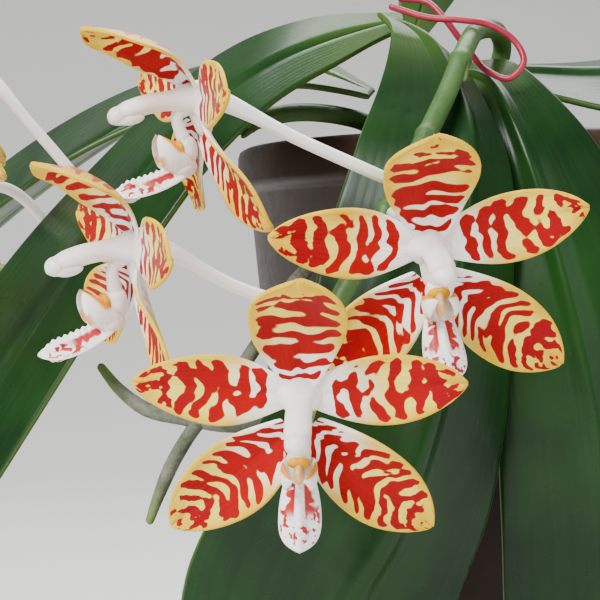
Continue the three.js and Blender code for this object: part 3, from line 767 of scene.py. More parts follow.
def tepal_bars_group():
    """Cross bars that bow towards the tip, run in streaks and leave the base, tip and edge bare."""
    nodes, takes, gives = new_group("Tepal bars", {
        "UV": None, "Object": None, "Bars": 6.5, "Bow": 0.12, "Bare Base": 0.12, "Bare Tip": 0.86,
        "Cover": 0.5, "Break": 0.5, "Pieces": 1.6}, ("Bars", "Edge", "Along", "Ground"))
    parts = nodes.split(takes["UV"])
    across = nodes.centred(parts["X"], 1.0)
    away = nodes.size_of(across)
    along = parts["Y"]
    seat = nodes.add("ShaderNodeVectorMath", {0: takes["Object"], 1: TEPAL_SEEDS},
                     operation="DOT_PRODUCT").outputs["Value"]

    def field(wide, rows, seed, detail=1.0):
        """Noise that varies slowly or quickly across and along the blade."""
        feeds = {"X": nodes.times(across, wide), "Y": rows, "Z": nodes.plus(seat, seed)}
        return nodes.noise(nodes.add("ShaderNodeCombineXYZ", feeds).outputs[0], 1.0, detail)

    drift = nodes.centred(field(1.1, nodes.times(along, 3.0), 0.0), 0.08)
    bow = nodes.times(nodes.math("POWER", away, 1.6), takes["Bow"])
    height = nodes.plus(nodes.math("SUBTRACT", along, bow), drift)
    wave = nodes.math("SINE", nodes.times(height, nodes.times(takes["Bars"], math.tau)))
    rows = nodes.times(height, nodes.times(takes["Bars"], 1.25))
    streaks = nodes.centred(field(takes["Pieces"], rows, 7.0), 3.2)
    clumps = nodes.centred(field(1.1, nodes.times(along, 4.2), 13.0), 3.0)
    dots = nodes.centred(field(3.6, nodes.times(along, 17.0), 29.0), 3.0)
    dotted = nodes.fit(nodes.step(along, 0.45, 0.95), 0.75, 0.08)
    torn = nodes.plus(nodes.times(clumps, takes["Break"]), nodes.times(dots, dotted))
    reach = nodes.centred(takes["Cover"], 1.3)
    fade_base = nodes.step(along, takes["Bare Base"], nodes.plus(takes["Bare Base"], 0.06), -2.6, 0.0)
    tip_from = nodes.math("SUBTRACT", takes["Bare Tip"], 0.26)
    fade_tip = nodes.step(along, tip_from, takes["Bare Tip"], 0.0, -1.9)
    fade_edge = nodes.step(away, 0.78, 1.0, 0.0, -2.8)
    fades = nodes.plus(fade_base, nodes.plus(fade_tip, fade_edge))
    pattern = nodes.plus(nodes.times(wave, 0.85), streaks)
    total = nodes.plus(nodes.plus(pattern, torn), nodes.plus(reach, fades))
    nodes.feed(gives["Bars"], nodes.step(total, -0.14, 0.14))
    nodes.feed(gives["Edge"], nodes.step(nodes.plus(away, nodes.times(drift, 3.0)), 0.45, 0.98))
    nodes.feed(gives["Along"], along)
    nodes.feed(gives["Ground"], field(2.0, nodes.times(along, 8.0), 41.0, 2.0))


def veins_group():
    """Fine veins along a blade, from its UV map, for bump and tone."""
    nodes, takes, gives = new_group("Long veins", {"UV": None, "Object": None, "Count": 40.0},
                                    ("Veins", "Rib"))
    parts = nodes.split(takes["UV"])
    lane = nodes.plus(parts["X"], nodes.centred(nodes.noise(takes["Object"], 90.0), 0.015))
    wave = nodes.math("SINE", nodes.times(lane, nodes.times(takes["Count"], math.tau)))
    nodes.feed(gives["Veins"], nodes.fit(wave, 0.5, 0.5))
    middle = nodes.size_of(nodes.math("SUBTRACT", parts["X"], 0.5))
    nodes.feed(gives["Rib"], nodes.step(middle, 0.0, 0.022, 1.0, 0.0))


def mottle_group():
    """Blotches and specks from the place on the object."""
    nodes, takes, gives = new_group("Mottle", {"Object": None, "Scale": 60.0}, ("Blotch", "Speck"))
    nodes.feed(gives["Blotch"], nodes.noise(takes["Object"], takes["Scale"], 3.0, 0.55, 0.3))
    nodes.feed(gives["Speck"], nodes.noise(takes["Object"], nodes.times(takes["Scale"], 9.0)))


# Finishes

def tepal_finish(look, kind):
    """The waxy, barred face of a tepal."""
    skin = Finish(f"{kind}_face", 260.0)
    marks = skin.pattern("Tepal bars", {**MARKS[kind], "Bars": look.bars * MARKS[kind]["Bars"]})
    veins = skin.pattern("Long veins", {"Count": 13.0})
    along = marks["Along"]
    pale = skin.blend(skin.step(along, 0.12, 0.55), look.white, look.cream)
    rim = skin.times(marks["Edge"], skin.step(along, 0.10, 0.40))
    yellow = skin.math("MAXIMUM", rim, skin.step(along, 0.72, 0.92))
    uneven = skin.times(yellow, skin.fit(marks["Ground"], 0.8, 0.45), clamp=True)
    ground = skin.blend(uneven, pale, look.yellow)
    near = skin.blend(skin.fit(skin.blotch, 0.9, -0.1, clamp=True), look.deep_red, look.red)
    red = skin.blend(skin.step(along, 0.35, 0.95, 0.0, 0.75), near, look.crimson)
    skin.paint(skin.blend(marks["Bars"], ground, red), 0.30, 0.16)
    skin.shader["Specular IOR Level"].default_value = 0.09
    skin.soften(0.03, 0.0020, 0.0010, 0.0005)
    pits = skin.plus(skin.times(skin.blotch, 0.7), skin.times(marks["Bars"], 0.3))
    skin.emboss(skin.plus(skin.times(veins["Veins"], 0.25), pits), 0.35, 0.0003)
    return skin.material


def tepal_back_finish(look, name, faintness, white_until):
    """The paler back of a tepal, with its bars showing through."""
    skin = Finish(name, 200.0)
    marks = skin.pattern("Tepal bars", {"Bars": look.bars, "Cover": 0.6})
    veins = skin.pattern("Long veins", {"Count": 9.0})
    along = marks["Along"]
    base = skin.blend(skin.step(along, white_until, white_until + 0.4), look.white, look.cream)
    ground = skin.blend(skin.step(along, white_until + 0.1, 0.9), base, look.yellow)
    shown = skin.times(marks["Bars"], skin.step(along, 0.02, 0.3, 0.2, 1.0))
    skin.paint(skin.blend(skin.times(shown, faintness), ground, look.red), 0.36, 0.15)
    skin.soften(0.12, 0.0025, 0.0015, 0.001)
    skin.emboss(skin.plus(veins["Veins"], skin.blotch), 0.3, 0.0003)
    return skin.material


def white_finish(look):
    """The waxy white of the columns, faintly pink in places."""
    skin = Finish("column_white", 170.0)
    skin.paint(skin.blend(skin.step(skin.blotch, 0.4, 0.75), look.white, BLUSH), 0.30, 0.14)
    skin.soften(0.15, 0.003, 0.002, 0.0015)
    skin.emboss(skin.blotch, 0.25, 0.0004)
    return skin.material


def stalk_finish(look):
    """The pedicels: waxy white, faintly ridged and greener towards the spike."""
    skin = Finish("pedicel_white", 120.0)
    parts = skin.split(skin.uv)
    skin.paint(skin.blend(skin.step(parts["Y"], 0.0, 0.28, 0.75, 0.0), look.white, STALK_GREEN), 0.32, 0.12)
    skin.soften(0.15, 0.003, 0.002, 0.0015)
    ridges = skin.math("SINE", skin.times(parts["X"], 6 * math.tau))
    skin.emboss(skin.plus(skin.times(ridges, 0.3), skin.blotch), 0.25, 0.0004)
    return skin.material


def midlobe_finish(look, name, striped):
    """The lip's middle lobe: white with red dots and, where striped, a broken red line on each side."""
    skin = Finish(name, 620.0)
    marks = skin.step(skin.noise(skin.place, 980.0, 1.0), 0.53, 0.57)
    if striped:
        parts = skin.split(skin.uv)
        along = parts["Y"]
        away = skin.size_of(skin.math("COSINE", skin.times(parts["X"], math.tau)))
        dotted = skin.between(away, (0.20, 0.34), (0.98, 0.88))
        low = skin.between(along, (0.40, 0.54), (0.95, 0.88))
        line = skin.between(away, (0.20, 0.28), (0.80, 0.66))
        high = skin.between(along, (0.04, 0.14), (0.68, 0.52))
        broken = skin.step(skin.noise(skin.scaled(skin.uv, (6.0, 8.0, 1.0)), 1.0, 1.0), 0.38, 0.44)
        stripes = skin.times(broken, skin.times(line, high))
        marks = skin.math("MAXIMUM", skin.times(marks, skin.times(dotted, low)), stripes)
    skin.paint(skin.blend(marks, look.white, look.red), 0.34, 0.2)
    skin.soften(0.12, 0.002, 0.0015, 0.001)
    skin.emboss(skin.blotch, 0.45, 0.0005)
    return skin.material


def sidelobe_finish(look):
    """The lip's side lobes: white with an orange-yellow band and tan specks."""
    skin = Finish("lip_sidelobe", 420.0)
    parts = skin.split(skin.uv)
    height = skin.plus(parts["Y"], skin.centred(skin.blotch, 0.15))
    ahead = skin.math("COSINE", skin.times(parts["X"], math.tau))
    rear = skin.times(skin.step(height, 0.40, 0.55), skin.step(ahead, -0.2, -0.7))
    front = skin.between(height, (0.16, 0.28), (0.56, 0.42))
    band = skin.math("MAXIMUM", rear, skin.times(front, skin.step(ahead, 0.45, 0.9, 0.0, 0.8)))
    base = skin.blend(band, look.white, look.orange)
    specks = skin.times(skin.step(skin.speck, 0.60, 0.68), skin.step(parts["Y"], 0.55, 0.15, 0.0, 0.8))
    skin.feed(skin.shader["Base Color"], skin.blend(specks, base, SPECK_TAN))
    skin.shader["Roughness"].default_value = 0.38
    skin.shader["Specular IOR Level"].default_value = 0.12
    skin.emboss(skin.blotch, 0.4, 0.0003)
    return skin.material


def leaf_finish(look, name, pallor=0.0):
    """A leaf's glossy upper side: deep green with fine long veins and a paler rib and edge, and a paler base
    whose green near the crown is partly painted light falling from above.
    """
    skin = Finish(name, 34.0)
    parts = skin.split(skin.uv)
    veins = skin.pattern("Long veins", {"Count": 22.0})
    fine = skin.noise(skin.scaled(skin.uv, (46.0, 2.0, 1.0)), 1.0)
    tone = skin.plus(skin.blotch, skin.fit(fine, 0.22, -0.12))
    green = skin.blend(skin.step(tone, 0.15, 0.75), look.leaf_dark, look.leaf_light)
    # Paler towards the leaf's base: partly its own colour, partly painted light from above near the crown
    base = skin.blend(skin.step(parts["Y"], 0.0, 0.14, 0.7, 0.0), green, LEAF_FOOT_PALE_AND_LIT)
    ribbed = skin.blend(skin.times(veins["Rib"], 0.5), base, look.leaf_light)
    side = skin.size_of(skin.centred(parts["X"], 1.0))
    tint = skin.blend(skin.step(side, 0.972, 1.0, 0.0, 0.7), ribbed, look.leaf_edge)
    if pallor:
        tint = skin.blend(pallor, tint, look.leaf_edge)
    skin.paint(tint, 0.22, 0.16)
    skin.shader["Specular IOR Level"].default_value = 0.17
    skin.shader["Coat Weight"].default_value = 0.05
    skin.shader["Coat Roughness"].default_value = 0.15
    pits = skin.plus(skin.times(fine, 0.14), skin.times(skin.blotch, 1.6))
    skin.emboss(skin.plus(skin.times(veins["Veins"], 0.05), pits), 0.22, 0.0008)
    return skin.material


def leaf_under_finish(look):
    """A leaf's paler, duller underside."""
    skin = Finish("leaf_underside", 45.0)
    veins = skin.pattern("Long veins", {"Count": 26.0})
    base = skin.blend(skin.step(skin.blotch, 0.3, 0.75, 0.0, 0.5), look.leaf_under, look.leaf_light)
    skin.paint(skin.blend(skin.times(veins["Rib"], 0.7), base, look.leaf_edge), 0.42, 0.15)
    skin.emboss(skin.plus(veins["Veins"], skin.blotch), 0.25, 0.0006)
    return skin.material


def skin_finish(name, low, high, scale, roughness, depth, tip=None, shine=0.35):
    """A plant, bark or plastic skin in two mottled tones, with another tone at the tip where one is given."""
    skin = Finish(name, scale)
    tone = skin.plus(skin.times(skin.blotch, 0.8), skin.times(skin.speck, 0.25))
    tint = skin.blend(skin.step(tone, 0.32, 0.70), low, high)
    if tip:
        tint = skin.blend(skin.step(skin.split(skin.uv)["Y"], 0.86, 0.95), tint, tip)
    skin.paint(tint, roughness - 0.1, 0.2)
    skin.shader["Specular IOR Level"].default_value = shine
    skin.emboss(skin.plus(skin.blotch, skin.times(skin.speck, 0.5)), 0.5, depth)
    return skin.material


def wire_finish(look):
    """The tie wire's smooth coating."""
    skin = Finish("wire_coating", 300.0)
    skin.paint(skin.blend(skin.step(skin.blotch, 0.35, 0.7), look.wire_red, WIRE_LIGHT), 0.2, 0.2)
    skin.shader["Specular IOR Level"].default_value = 0.3
    skin.emboss(skin.blotch, 0.2, 0.0002)
    return skin.material


def paper_finish(stage):
    """The floor's plain, faintly grained paper."""
    skin = Finish("floor_paper")
    grain = skin.times(skin.noise(skin.place, 700.0), 0.06)
    skin.feed(skin.shader["Base Color"], skin.blend(grain, stage.floor_colour, PAPER_SHADE))
    skin.shader["Roughness"].default_value = 0.85
    return skin.material


# The stage and the pieces

class ORCHID_OT_stage(bpy.types.Operator):
    """Sets the camera, the pale floor and the soft studio lights"""
    bl_idname = "orchid.stage"
    bl_label = "Stage"

    def execute(self, context):
        stage = context.scene.orchid_stage
        camera = place_object("camera", bpy.data.cameras.new("camera"))
        camera.data.lens = stage.lens
        camera.data.sensor_width = SENSOR_WIDTH
        camera.data.clip_start = 0.01
        camera.location = stage.camera_place
        camera.rotation_euler = (math.radians(90), 0, 0)
        context.scene.camera = camera
        sweep = Line([(0, y, z) for y, z in FLOOR_SWEEP])
        bm = new_mesh()

        def laid(a, v):
            return (sweep.by_part(v) + Vector(((a - 0.5) * FLOOR_WIDTH, 0, 0))) / MM

        made = add_sheet(bm, 2, 60, laid)
        bmesh.ops.recalc_face_normals(bm, faces=faces_of(made))
        mesh = mesh_of(bm, "floor")
        mesh.shade_smooth()
        mesh.materials.append(paper_finish(stage))
        place_object("floor", mesh)
        powers = {"key_light": stage.key_power, "fill_light": stage.fill_power,
                  "top_light": TOP_SHARE * stage.key_power}
        for name, (size, place, aim) in LIGHTS.items():
            lamp = place_object(name, bpy.data.lights.new(name, "AREA"))
            lamp.data.energy = powers[name]
            lamp.data.size = size
            lamp.location = place
            lamp.rotation_euler = (Vector(aim) - Vector(place)).to_track_quat("-Z", "Y").to_euler()
        world = bpy.data.worlds.new("studio")
        world.use_nodes = True
        background = world.node_tree.nodes["Background"].inputs
        background["Color"].default_value = full(SKY_TINT)
        background["Strength"].default_value = stage.sky
        context.scene.world = world
        return {"FINISHED"}


class ORCHID_OT_pot(bpy.types.Operator):
    """Turns the tapered plastic pot with its rolled rim and drain holes"""
    bl_idname = "orchid.pot"
    bl_label = "Pot"

    def execute(self, context):
        pot = context.scene.orchid_pot
        height, wall = pot.height / MM, pot.wall / MM
        rim, foot = pot.rim_radius / MM, pot.foot_radius / MM
        shoulder = height - pot.rim_height / MM

        def outside(z):
            return mix(foot, rim - RIM_STEP, z / shoulder)

        inside = outside(shoulder) - wall
        profile = [(0, 0), (8, 0), (foot - 2.2, 0), (foot - 0.7, 0.35), (foot, 1.5), (outside(20), 20),
                   (outside(shoulder) - 0.05, shoulder - 0.6), (outside(shoulder) + 0.5, shoulder),
                   (rim - 0.9, shoulder + 0.5), (rim - 0.2, shoulder + 1.1), (rim, shoulder + 2.1),
                   (rim, height - 1.7), (rim - 0.35, height - 0.5), (rim - 1.2, height),
                   (inside + 1.7, height), (inside + 0.5, height - 0.6), (inside, height - 2),
                   (inside, shoulder), (outside(20) - wall, 20), (outside(3) - wall - 0.4, 3.4),
                   (outside(3) - wall - 2, 3), (8, 3), (0, 3)]
        bm = new_mesh()
        made = [bm.verts.new(Vector((r, 0, z)) * MM) for r, z in profile]
        edges = [bm.edges.new(pair) for pair in zip(made, made[1:])]
        bmesh.ops.spin(bm, geom=made + edges, cent=(0, 0, 0), axis=(0, 0, 1), angle=math.tau, steps=96,
                       use_merge=True)
        bmesh.ops.remove_doubles(bm, verts=bm.verts, dist=MERGE_DISTANCE / 2)
        bmesh.ops.recalc_face_normals(bm, faces=bm.faces)
        plastic = skin_finish("pot_plastic", pot.plastic, lighter(pot.plastic), 55.0, 0.46, 0.0002,
                              shine=0.22)
        piece = finish_piece(bm, "pot_shell", [plastic], "pot")
        cut = bmesh.new()
        for k in range(DRAIN_HOLES):
            turn = Matrix.Rotation(math.radians(360 * k / DRAIN_HOLES), 4, "Z")
            place = turn @ Matrix.Translation((DRAIN_CIRCLE * MM, 0, 0))
            bmesh.ops.create_cone(cut, cap_ends=True, segments=32, radius1=DRAIN_RADIUS * MM,
                                  radius2=DRAIN_RADIUS * MM, depth=20 * MM, matrix=place)
        carve(piece, cut)
        return {"FINISHED"}


def free_spot(draw, placed):
    """A place for a chip, clear of the other chips where the tries find one."""
    for _ in range(CHIP_TRIES):
        away = CHIP_REACH * math.sqrt(draw.random())
        turn = math.tau * draw.random()
        spot = Vector((away * math.cos(turn), away * math.sin(turn), 0))
        if all((spot - other).length > CHIP_SPACING for other in placed):
            break
    return spot


def new_chip(draw, spot):
    """A bmesh of one rough, tilted bark chip."""
    long = mix(8, 15, draw.random())
    size = Vector((long, long * mix(0.45, 0.75, draw.random()), mix(3.5, 6.5, draw.random())))
    tilt = (Matrix.Rotation(math.tau * draw.random(), 3, "Z")
            @ Matrix.Rotation(mix(-0.5, 0.5, draw.random()), 3, "X")
            @ Matrix.Rotation(mix(-0.5, 0.5, draw.random()), 3, "Y"))
    place = spot + Vector((0, 0, CHIP_LEVEL + mix(-1.5, 1.8, draw.random())))
    seed = Vector((draw.random(), draw.random(), draw.random())) * 50
    chip = bmesh.new()
    bmesh.ops.create_cube(chip, size=1.0)
    bmesh.ops.subdivide_edges(chip, edges=chip.edges, cuts=3, use_grid_fill=True)
    for vert in chip.verts:
        form = vert.co.lerp(vert.co.normalized() * 0.62, 0.45) * size
        form += noise.noise_vector(form * 0.33 + seed) * 1.3
        vert.co = (place + tilt @ form) * MM
    return chip


class ORCHID_OT_bark(bpy.types.Operator):
    """Heaps the bark chips that fill the pot"""
    bl_idname = "orchid.bark"
    bl_label = "Bark"

    def execute(self, context):
        pot = context.scene.orchid_pot
        draw = random.Random(BARK_SEED)
        noise.seed_set(BARK_SEED)
        bm = new_mesh()

        def inner(z):
            return mix(BARK_FOOT, BARK_SHOULDER, z / BARK_SHOULDER_LEVEL)

        line = Line([(0.01, 0, 6), (inner(6) - 1, 0, 6), (inner(8), 0, 8), (inner(70), 0, 70),
                     (inner(130), 0, 130), (inner(134) - 1, 0, 134), (inner(134) - 8, 0, 136.5),
                     (0.01, 0, 136.5)])

        def heap(round_at, along_at):
            angle = math.tau * round_at
            at = line.along(along_at)
            rough = 1.1 * noise.noise(Vector((at.x * math.cos(angle), at.x * math.sin(angle), at.z)) * 0.16)
            reach = max(at.x - abs(rough), 0.0) if at.x > 1 else 0.0
            rise = 1.6 * rough if at.z > 133 else 0.0
            return Vector((reach * math.cos(angle), reach * math.sin(angle), at.z + rise * min(reach / 5, 1)))

        add_shell(bm, 64, 90, heap)
        placed = []
        spare = bpy.data.meshes.new("chip")
        for _ in range(pot.chips):
            placed.append(free_spot(draw, placed))
            chip = new_chip(draw, placed[-1])
            chip.to_mesh(spare)
            chip.free()
            bm.from_mesh(spare)
        bpy.data.meshes.remove(spare)
        bark = skin_finish("bark_chips", pot.bark_dark, pot.bark_light, 130.0, 0.85, 0.0012)
        finish_piece(bm, "bark_heap", [bark], "bark_medium")
        return {"FINISHED"}


class ORCHID_OT_roots(bpy.types.Operator):
    """Grows the stem and the roots that creep over the bark and the pot's rim"""
    bl_idname = "orchid.roots"
    bl_label = "Stem and roots"

    def execute(self, context):
        look = context.scene.orchid_plant
        bm = new_mesh()

        def ringed(round_at, t):
            return 1 + 0.035 * math.sin(60 * t) + 0.02 * math.cos(2 * math.tau * round_at)

        def tapered(t):
            return ROOT_RADIUS * mix(0.55, 1.0, rounded(t, 0.02, 0.12))

        add_tube(bm, STEM_LINE, lambda t: STEM_RADIUS * mix(1, 0.72, t), sides=32, rings=40, shape=ringed)
        for k, points in enumerate(ROOTS):
            def knobbed(round_at, t, k=k):
                angle = math.tau * round_at
                place = Vector((math.cos(angle), math.sin(angle), t * 22 + 9 * k))
                return 1.0 + 0.10 * noise.noise(place * 0.9)

            add_tube(bm, points, tapered, sides=16, rings=70, shape=knobbed)
        skin = skin_finish("root_skin", look.root_green, look.root_skin, 210.0, 0.72, 0.0006, ROOT_TIP)
        finish_piece(bm, "stem_and_root_skin", [skin], "stem_and_roots")
        return {"FINISHED"}


class ORCHID_OT_leaves(bpy.types.Operator):
    """Spreads the six arching leaves"""
    bl_idname = "orchid.leaves"
    bl_label = "Leaves"

    def execute(self, context):
        look = context.scene.orchid_plant
        top, young = leaf_finish(look, "leaf_top"), leaf_finish(look, "leaf_young_top", 0.35)
        under = leaf_under_finish(look)
        for name, leaf in LEAVES.items():
            face, fold, rows = (young, 0.8, 30) if name == "leaf_young" else (top, 1.5, 64)
            bm = new_mesh()
            add_blade(bm, leaf_surface(leaf, fold), 28, rows, side=Vector((0, -0.5, 1)))
            blade = finish_piece(bm, f"{name}_blade", [face, under], name)
            thicken(blade, look.leaf_thickness)
        return {"FINISHED"}


class ORCHID_OT_spikes(bpy.types.Operator):
    """Grows the two flower spikes with their joints and papery bracts"""
    bl_idname = "orchid.spikes"
    bl_label = "Flower spikes"

    def execute(self, context):
        look = context.scene.orchid_plant
        green = skin_finish("spike_green", look.spike_green, lighter(look.spike_green), 150.0, 0.45, 0.0003)
        paper = skin_finish("bract_paper", BRACT_DARK, BRACT_LIGHT, 240.0, 0.6, 0.0003)
        for side, points in SPIKES.items():
            line = Line(points)
            bm = new_mesh()

            def jointed(t, side=side):
                near = min(abs(t - joint) for joint in SPIKE_JOINTS[side])
                return SPIKE_RADIUS * mix(0.45, 1.0, rounded(t, 0.02, 0.1)) * (1 + 0.22 * ridge(near, 0.008))

            add_tube(bm, points, jointed, sides=24, rings=160)
            for joint in SPIKE_JOINTS[side]:
                at, along = line.along(joint), line.heading(joint)
                out = Vector(BRACT_LEAN).normalized()
                bract = [at - along * 1.5, at + along * 1.0 + out * 1.9, at + along * 2.8 + out * 2.9]
                add_tube(bm, bract, lambda t: SPIKE_RADIUS * mix(1.0, 0.32, t), sides=16, rings=12,
                         shape=lambda a, t: 1 - 0.35 * abs(math.cos(math.tau * a)), slot=1)
            node = f"flower_spike_{side}"
            finish_piece(bm, f"{node}_axis", [green, paper], node)
        return {"FINISHED"}


class ORCHID_OT_columns(bpy.types.Operator):
    """Shapes each flower's stalk and its column with the anther cap"""
    bl_idname = "orchid.columns"
    bl_label = "Stalks and columns"

    def execute(self, context):
        look = context.scene.orchid_flowers
        white, stalk = white_finish(look), stalk_finish(look)

        def ribbed(round_at, t):
            return 1 + 0.045 * math.cos(3 * math.tau * round_at + 9 * t) * ramp(0.35, 0.7, t)

        def club(t):
            flare = 1.25 * (1 - ramp(0.12, 0.45, t))
            return flare + (mix(1.85, 2.0, t / 0.8) if t < 0.8 else mix(2.0, 1.35, 5 * t - 4))

        def flattened(round_at, t):
            angle = math.tau * round_at
            return 1 / math.hypot(math.cos(angle), math.sin(angle) / mix(0.95, 0.82, ramp(0.1, 0.5, t)))

        def waisted(t):
            return LIP["foot_radius"] * (1 - 0.3 * math.sin(math.pi * t))

        for name, bloom in BLOOMS.items():
            axes = nodded_axes(bloom, bloom["droop"])
            right, turn = axes[0], facing(*axes)
            bm = new_mesh()
            add_tube(bm, stalk_points(bloom), lambda t: mix(1.05, 1.75, ramp(0.55, 0.95, t)), sides=24,
                     rings=60, shape=ribbed, slot=1)
            arch = [column_point(bloom, *spot) for spot in COLUMN_ARCH]
            add_tube(bm, arch, club, sides=32, rings=44, shape=flattened, side=right)
            # The anther cap on its end, and the two low wings beside the stigma
            add_ball(bm, column_point(bloom, COLUMN_LENGTH - 1.7, 0.05), ANTHER_RADII, turn)
            for hand in (1, -1):
                wing = column_point(bloom, COLUMN_LENGTH - 3.4, 0.9) + right * (1.35 * hand)
                add_ball(bm, wing, WING_RADII, turn, sides=16, rings=10)
            foot = [column_point(bloom, 0.6, 1.0), foot_point(bloom, 0.3 * bloom["foot"]),
                    foot_point(bloom, 0.76 * bloom["foot"])]
            add_tube(bm, foot, waisted, sides=20, rings=16)
            finish_piece(bm, f"{name}_column_and_stalk", [white, stalk], f"{name}_column")
        return {"FINISHED"}


class ORCHID_OT_tepals(bpy.types.Operator):
    """Opens the five barred tepals of each flower"""
    bl_idname = "orchid.tepals"
    bl_label = "Petals and sepals"

    def execute(self, context):
        look = context.scene.orchid_flowers
        back = tepal_back_finish(look, "tepal_back", 0.35, 0.25)
        hood = tepal_back_finish(look, "dorsal_back", 0.9, -0.1)
        white = bpy.data.materials["column_white"]
        slots = {}
        materials = []
        for kind in TEPAL_OUTLINES:
            slots[kind] = len(materials)
            materials += [tepal_finish(look, kind), hood if kind == "dorsal" else back]
        for name, bloom in BLOOMS.items():
            bm = new_mesh()
            petal, lateral = bloom["petal_around"], bloom["lateral_around"]
            for kind, around in (("dorsal", 0), ("petal", petal), ("petal", -petal), ("lateral", lateral),
                                 ("lateral", -lateral)):
                add_blade(bm, tepal_surface(bloom, kind, around), 14, 20, slot=slots[kind])
            star = finish_piece(bm, f"{name}_star", materials, f"{name}_tepals")
            thicken(star, look.tepal_thickness)
            hub = new_mesh()
            forward, right, up = bloom_axes(bloom)
            add_ball(hub, bloom["at"], (3.5, 2.1, 2.9), facing(right, forward, up), sides=24, rings=14)
            chin = [chin_point(bloom, below) for below in (-1, 0.5 * CHIN, CHIN + 2.4)]
            add_tube(hub, chin, lambda t: mix(2.2, 1.2, t), sides=20, rings=16)
            finish_piece(hub, f"{name}_middle", [white], f"{name}_tepals")
        return {"FINISHED"}


class ORCHID_OT_lips(bpy.types.Operator):
    """Shapes each flower's lip: a keeled middle lobe and two upright side lobes"""
    bl_idname = "orchid.lips"
    bl_label = "Lips"

    def execute(self, context):
        look = context.scene.orchid_flowers
        materials = [
            midlobe_finish(look, "lip_midlobe", True),
            bpy.data.materials["column_white"],
            sidelobe_finish(look),
            skin_finish("lip_callus", CALLUS_DARK, CALLUS_LIGHT, 500.0, 0.4, 0.0003),
            skin_finish("lip_crest", look.orange, look.yellow, 420.0, 0.4, 0.0003, shine=0.10),
            midlobe_finish(look, "lip_knob", False)]
        middle, white, sides, callus, crest, knob = range(len(materials))
        for name, bloom in BLOOMS.items():
            root = foot_point(bloom, bloom["foot"])
            right, ahead, above = nodded_axes(bloom, bloom["droop"] + bloom["lip"])
            turn = facing(right, ahead, above)

            def point(x, y, z):
                return root + right * x + ahead * y + above * z

            def midlobe(round_at, v):
                angle = math.tau * round_at
                u = math.cos(angle)
                half = LIP["lobe_half_width"] * width_share(v, MIDLOBE_OUTLINE)
                sag = -1.6 - 3.6 * v + 2.4 * v * v - 0.28 * half * u * u
                thick = 1.0 * mix(0.55, 1.0, math.sqrt(max(1 - u * u, 0))) * mix(1.0, 0.6, v)
                teeth = ramp(0.05, 0.3, v) * (1 - ramp(0.75, 1.0, v)) * (1 + 0.16 * math.sin(82 * v))
                keel = 1.1 * ridge(u, 0.20) * teeth
                ends = math.sqrt(max(1 - (2 * v - 1) ** 10, 0.0))
                z = sag + math.sin(angle) * thick * ends + (keel if math.sin(angle) > 0 else 0)
                return point(half * u * ends, 0.5 + LIP["lobe_length"] * v, z)

            def notched(ray):
                return 1 - 0.16 * ridge(ray.x, 0.22)

            def toothed(ray):
                return 1 + 0.10 * noise.noise(ray * 3.4 + Vector(bloom["at"]))

            bm = new_mesh()
            add_shell(bm, 40, 72, midlobe, middle)
            # The swollen base and the neck that joins it to the column's foot
            add_ball(bm, point(0, 1.6, -1.2), (2.3, 2.5, 1.7), turn, sides=20, rings=12, slot=white)
            neck = [foot_point(bloom, 0.62 * bloom["foot"]), foot_point(bloom, 0.85 * bloom["foot"]),
                    point(0, 1.2, -0.6)]
            add_tube(bm, neck, lambda t: mix(1.5, 1.9, t), sides=20, rings=14, slot=white)
            # The callus, the notched crest above it and the toothed knob near the tip
            add_ball(bm, point(0, 3.0, 1.4), (0.8, 1.6, 2.2), turn, sides=20, rings=12, slot=callus)
            add_ball(bm, point(0, 1.5, 2.1), (1.75, 0.9, 1.35), turn, sides=28, rings=16, shape=notched,
                     slot=crest)
            add_ball(bm, point(0, 0.80 * LIP["lobe_length"], -3.1), (1.5, 1.9, 1.7), turn, sides=36, rings=24,
                     shape=toothed, slot=knob)
            for hand in (1, -1):
                def sidelobe(round_at, v, hand=hand):
                    angle = math.tau * round_at
                    half = LIP["side_half_width"] * width_share(v, SIDELOBE_OUTLINE)
                    ends = math.sqrt(max(1 - (2 * v - 1) ** 8, 0.0))
                    inward = 0.9 * v ** 3 + 0.5 * max(math.cos(angle), 0.0) ** 2
                    bulge = hand * (1.6 + 0.9 * math.sin(2.6 * v) - inward) + 0.4 * math.sin(angle) * ends
                    return point(bulge, 2.2 + half * math.cos(angle) * ends + LIP["side_lean"] * v,
                                 -1.6 + LIP["side_height"] * v)

                add_shell(bm, 28, 20, sidelobe, sides)
            finish_piece(bm, f"{name}_lip_lobes", materials, f"{name}_lip")
        return {"FINISHED"}


class ORCHID_OT_buds(bpy.types.Operator):
    """Adds the bud at each spike's end"""
    bl_idname = "orchid.buds"
    bl_label = "Buds"

    def execute(self, context):
        look = context.scene.orchid_plant
        skin = skin_finish("bud_skin", look.spike_green, BUD_YELLOW, 190.0, 0.42, 0.0003)

        def seamed(ray):
            angle = math.atan2(ray.y, ray.x)
            return 1 - 0.05 * ridge(math.sin(1.5 * angle), 0.16) * (1 - abs(ray.z))

        for name, bud in BUDS.items():
            _, neck, tip = (Vector(spot) for spot in bud["line"])
            heading = (tip - neck).normalized()
            turn = Vector((0, 0, 1)).rotation_difference(heading).to_matrix()
            size = bud["length"]
            bm = new_mesh()
            add_tube(bm, bud["line"], lambda t: BUD_STALK_RADIUS, sides=18, rings=24)
            add_ball(bm, tip + heading * (0.42 * size), (0.36 * size, 0.36 * size, 0.5 * size), turn,
                     sides=36, rings=24, shape=seamed)
            finish_piece(bm, f"{name}_closed", [skin], name)
        return {"FINISHED"}


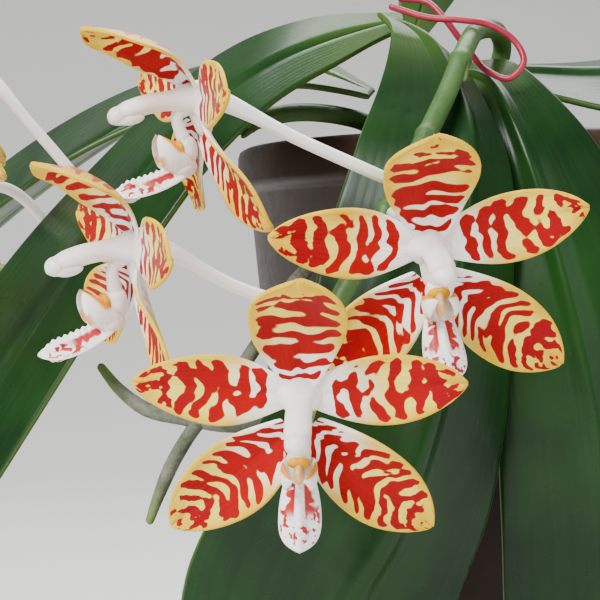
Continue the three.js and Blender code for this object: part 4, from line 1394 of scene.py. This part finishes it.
class ORCHID_OT_wire(bpy.types.Operator):
    """Loops the coated tie wire round the top of the front spike"""
    bl_idname = "orchid.wire"
    bl_label = "Tie wire"

    def execute(self, context):
        bm = new_mesh()
        add_tube(bm, WIRE_LINE, lambda t: WIRE_RADIUS, sides=16, rings=150)
        coating = wire_finish(context.scene.orchid_plant)
        finish_piece(bm, "tie_wire_coated", [coating], "tie_wire")
        return {"FINISHED"}


class VIEW3D_PT_orchid(bpy.types.Panel):
    """Lists the pieces of the potted orchid"""
    bl_label = "Potted Phalaenopsis"
    bl_idname = "VIEW3D_PT_orchid"
    bl_space_type = "VIEW_3D"
    bl_region_type = "UI"
    bl_category = "Orchid"

    def draw(self, context):
        for settings, sizes in SETTINGS.items():
            box = self.layout.box()
            group = getattr(context.scene, settings)
            for key in sizes.__annotations__:
                box.prop(group, key)
        for operator in PIECES:
            self.layout.operator(operator.bl_idname)


SETTINGS = {"orchid_pot": PotSettings, "orchid_plant": PlantSettings, "orchid_flowers": FlowerSettings,
            "orchid_stage": StageSettings}
PIECES = (ORCHID_OT_stage, ORCHID_OT_pot, ORCHID_OT_bark, ORCHID_OT_roots, ORCHID_OT_leaves, ORCHID_OT_spikes,
          ORCHID_OT_columns, ORCHID_OT_tepals, ORCHID_OT_lips, ORCHID_OT_buds, ORCHID_OT_wire)


def register():
    for key, sizes in SETTINGS.items():
        bpy.utils.register_class(sizes)
        setattr(bpy.types.Scene, key, bpy.props.PointerProperty(type=sizes))
    for shown in (*PIECES, VIEW3D_PT_orchid):
        bpy.utils.register_class(shown)


def unregister():
    for shown in (VIEW3D_PT_orchid, *reversed(PIECES)):
        bpy.utils.unregister_class(shown)
    for key, sizes in SETTINGS.items():
        delattr(bpy.types.Scene, key)
        bpy.utils.unregister_class(sizes)


def main():
    """Builds every piece in order."""
    register()
    tepal_bars_group()
    veins_group()
    mottle_group()
    for operator in PIECES:
        family, name = operator.bl_idname.split(".")
        getattr(getattr(bpy.ops, family), name)()


if __name__ == "__main__":
    main()
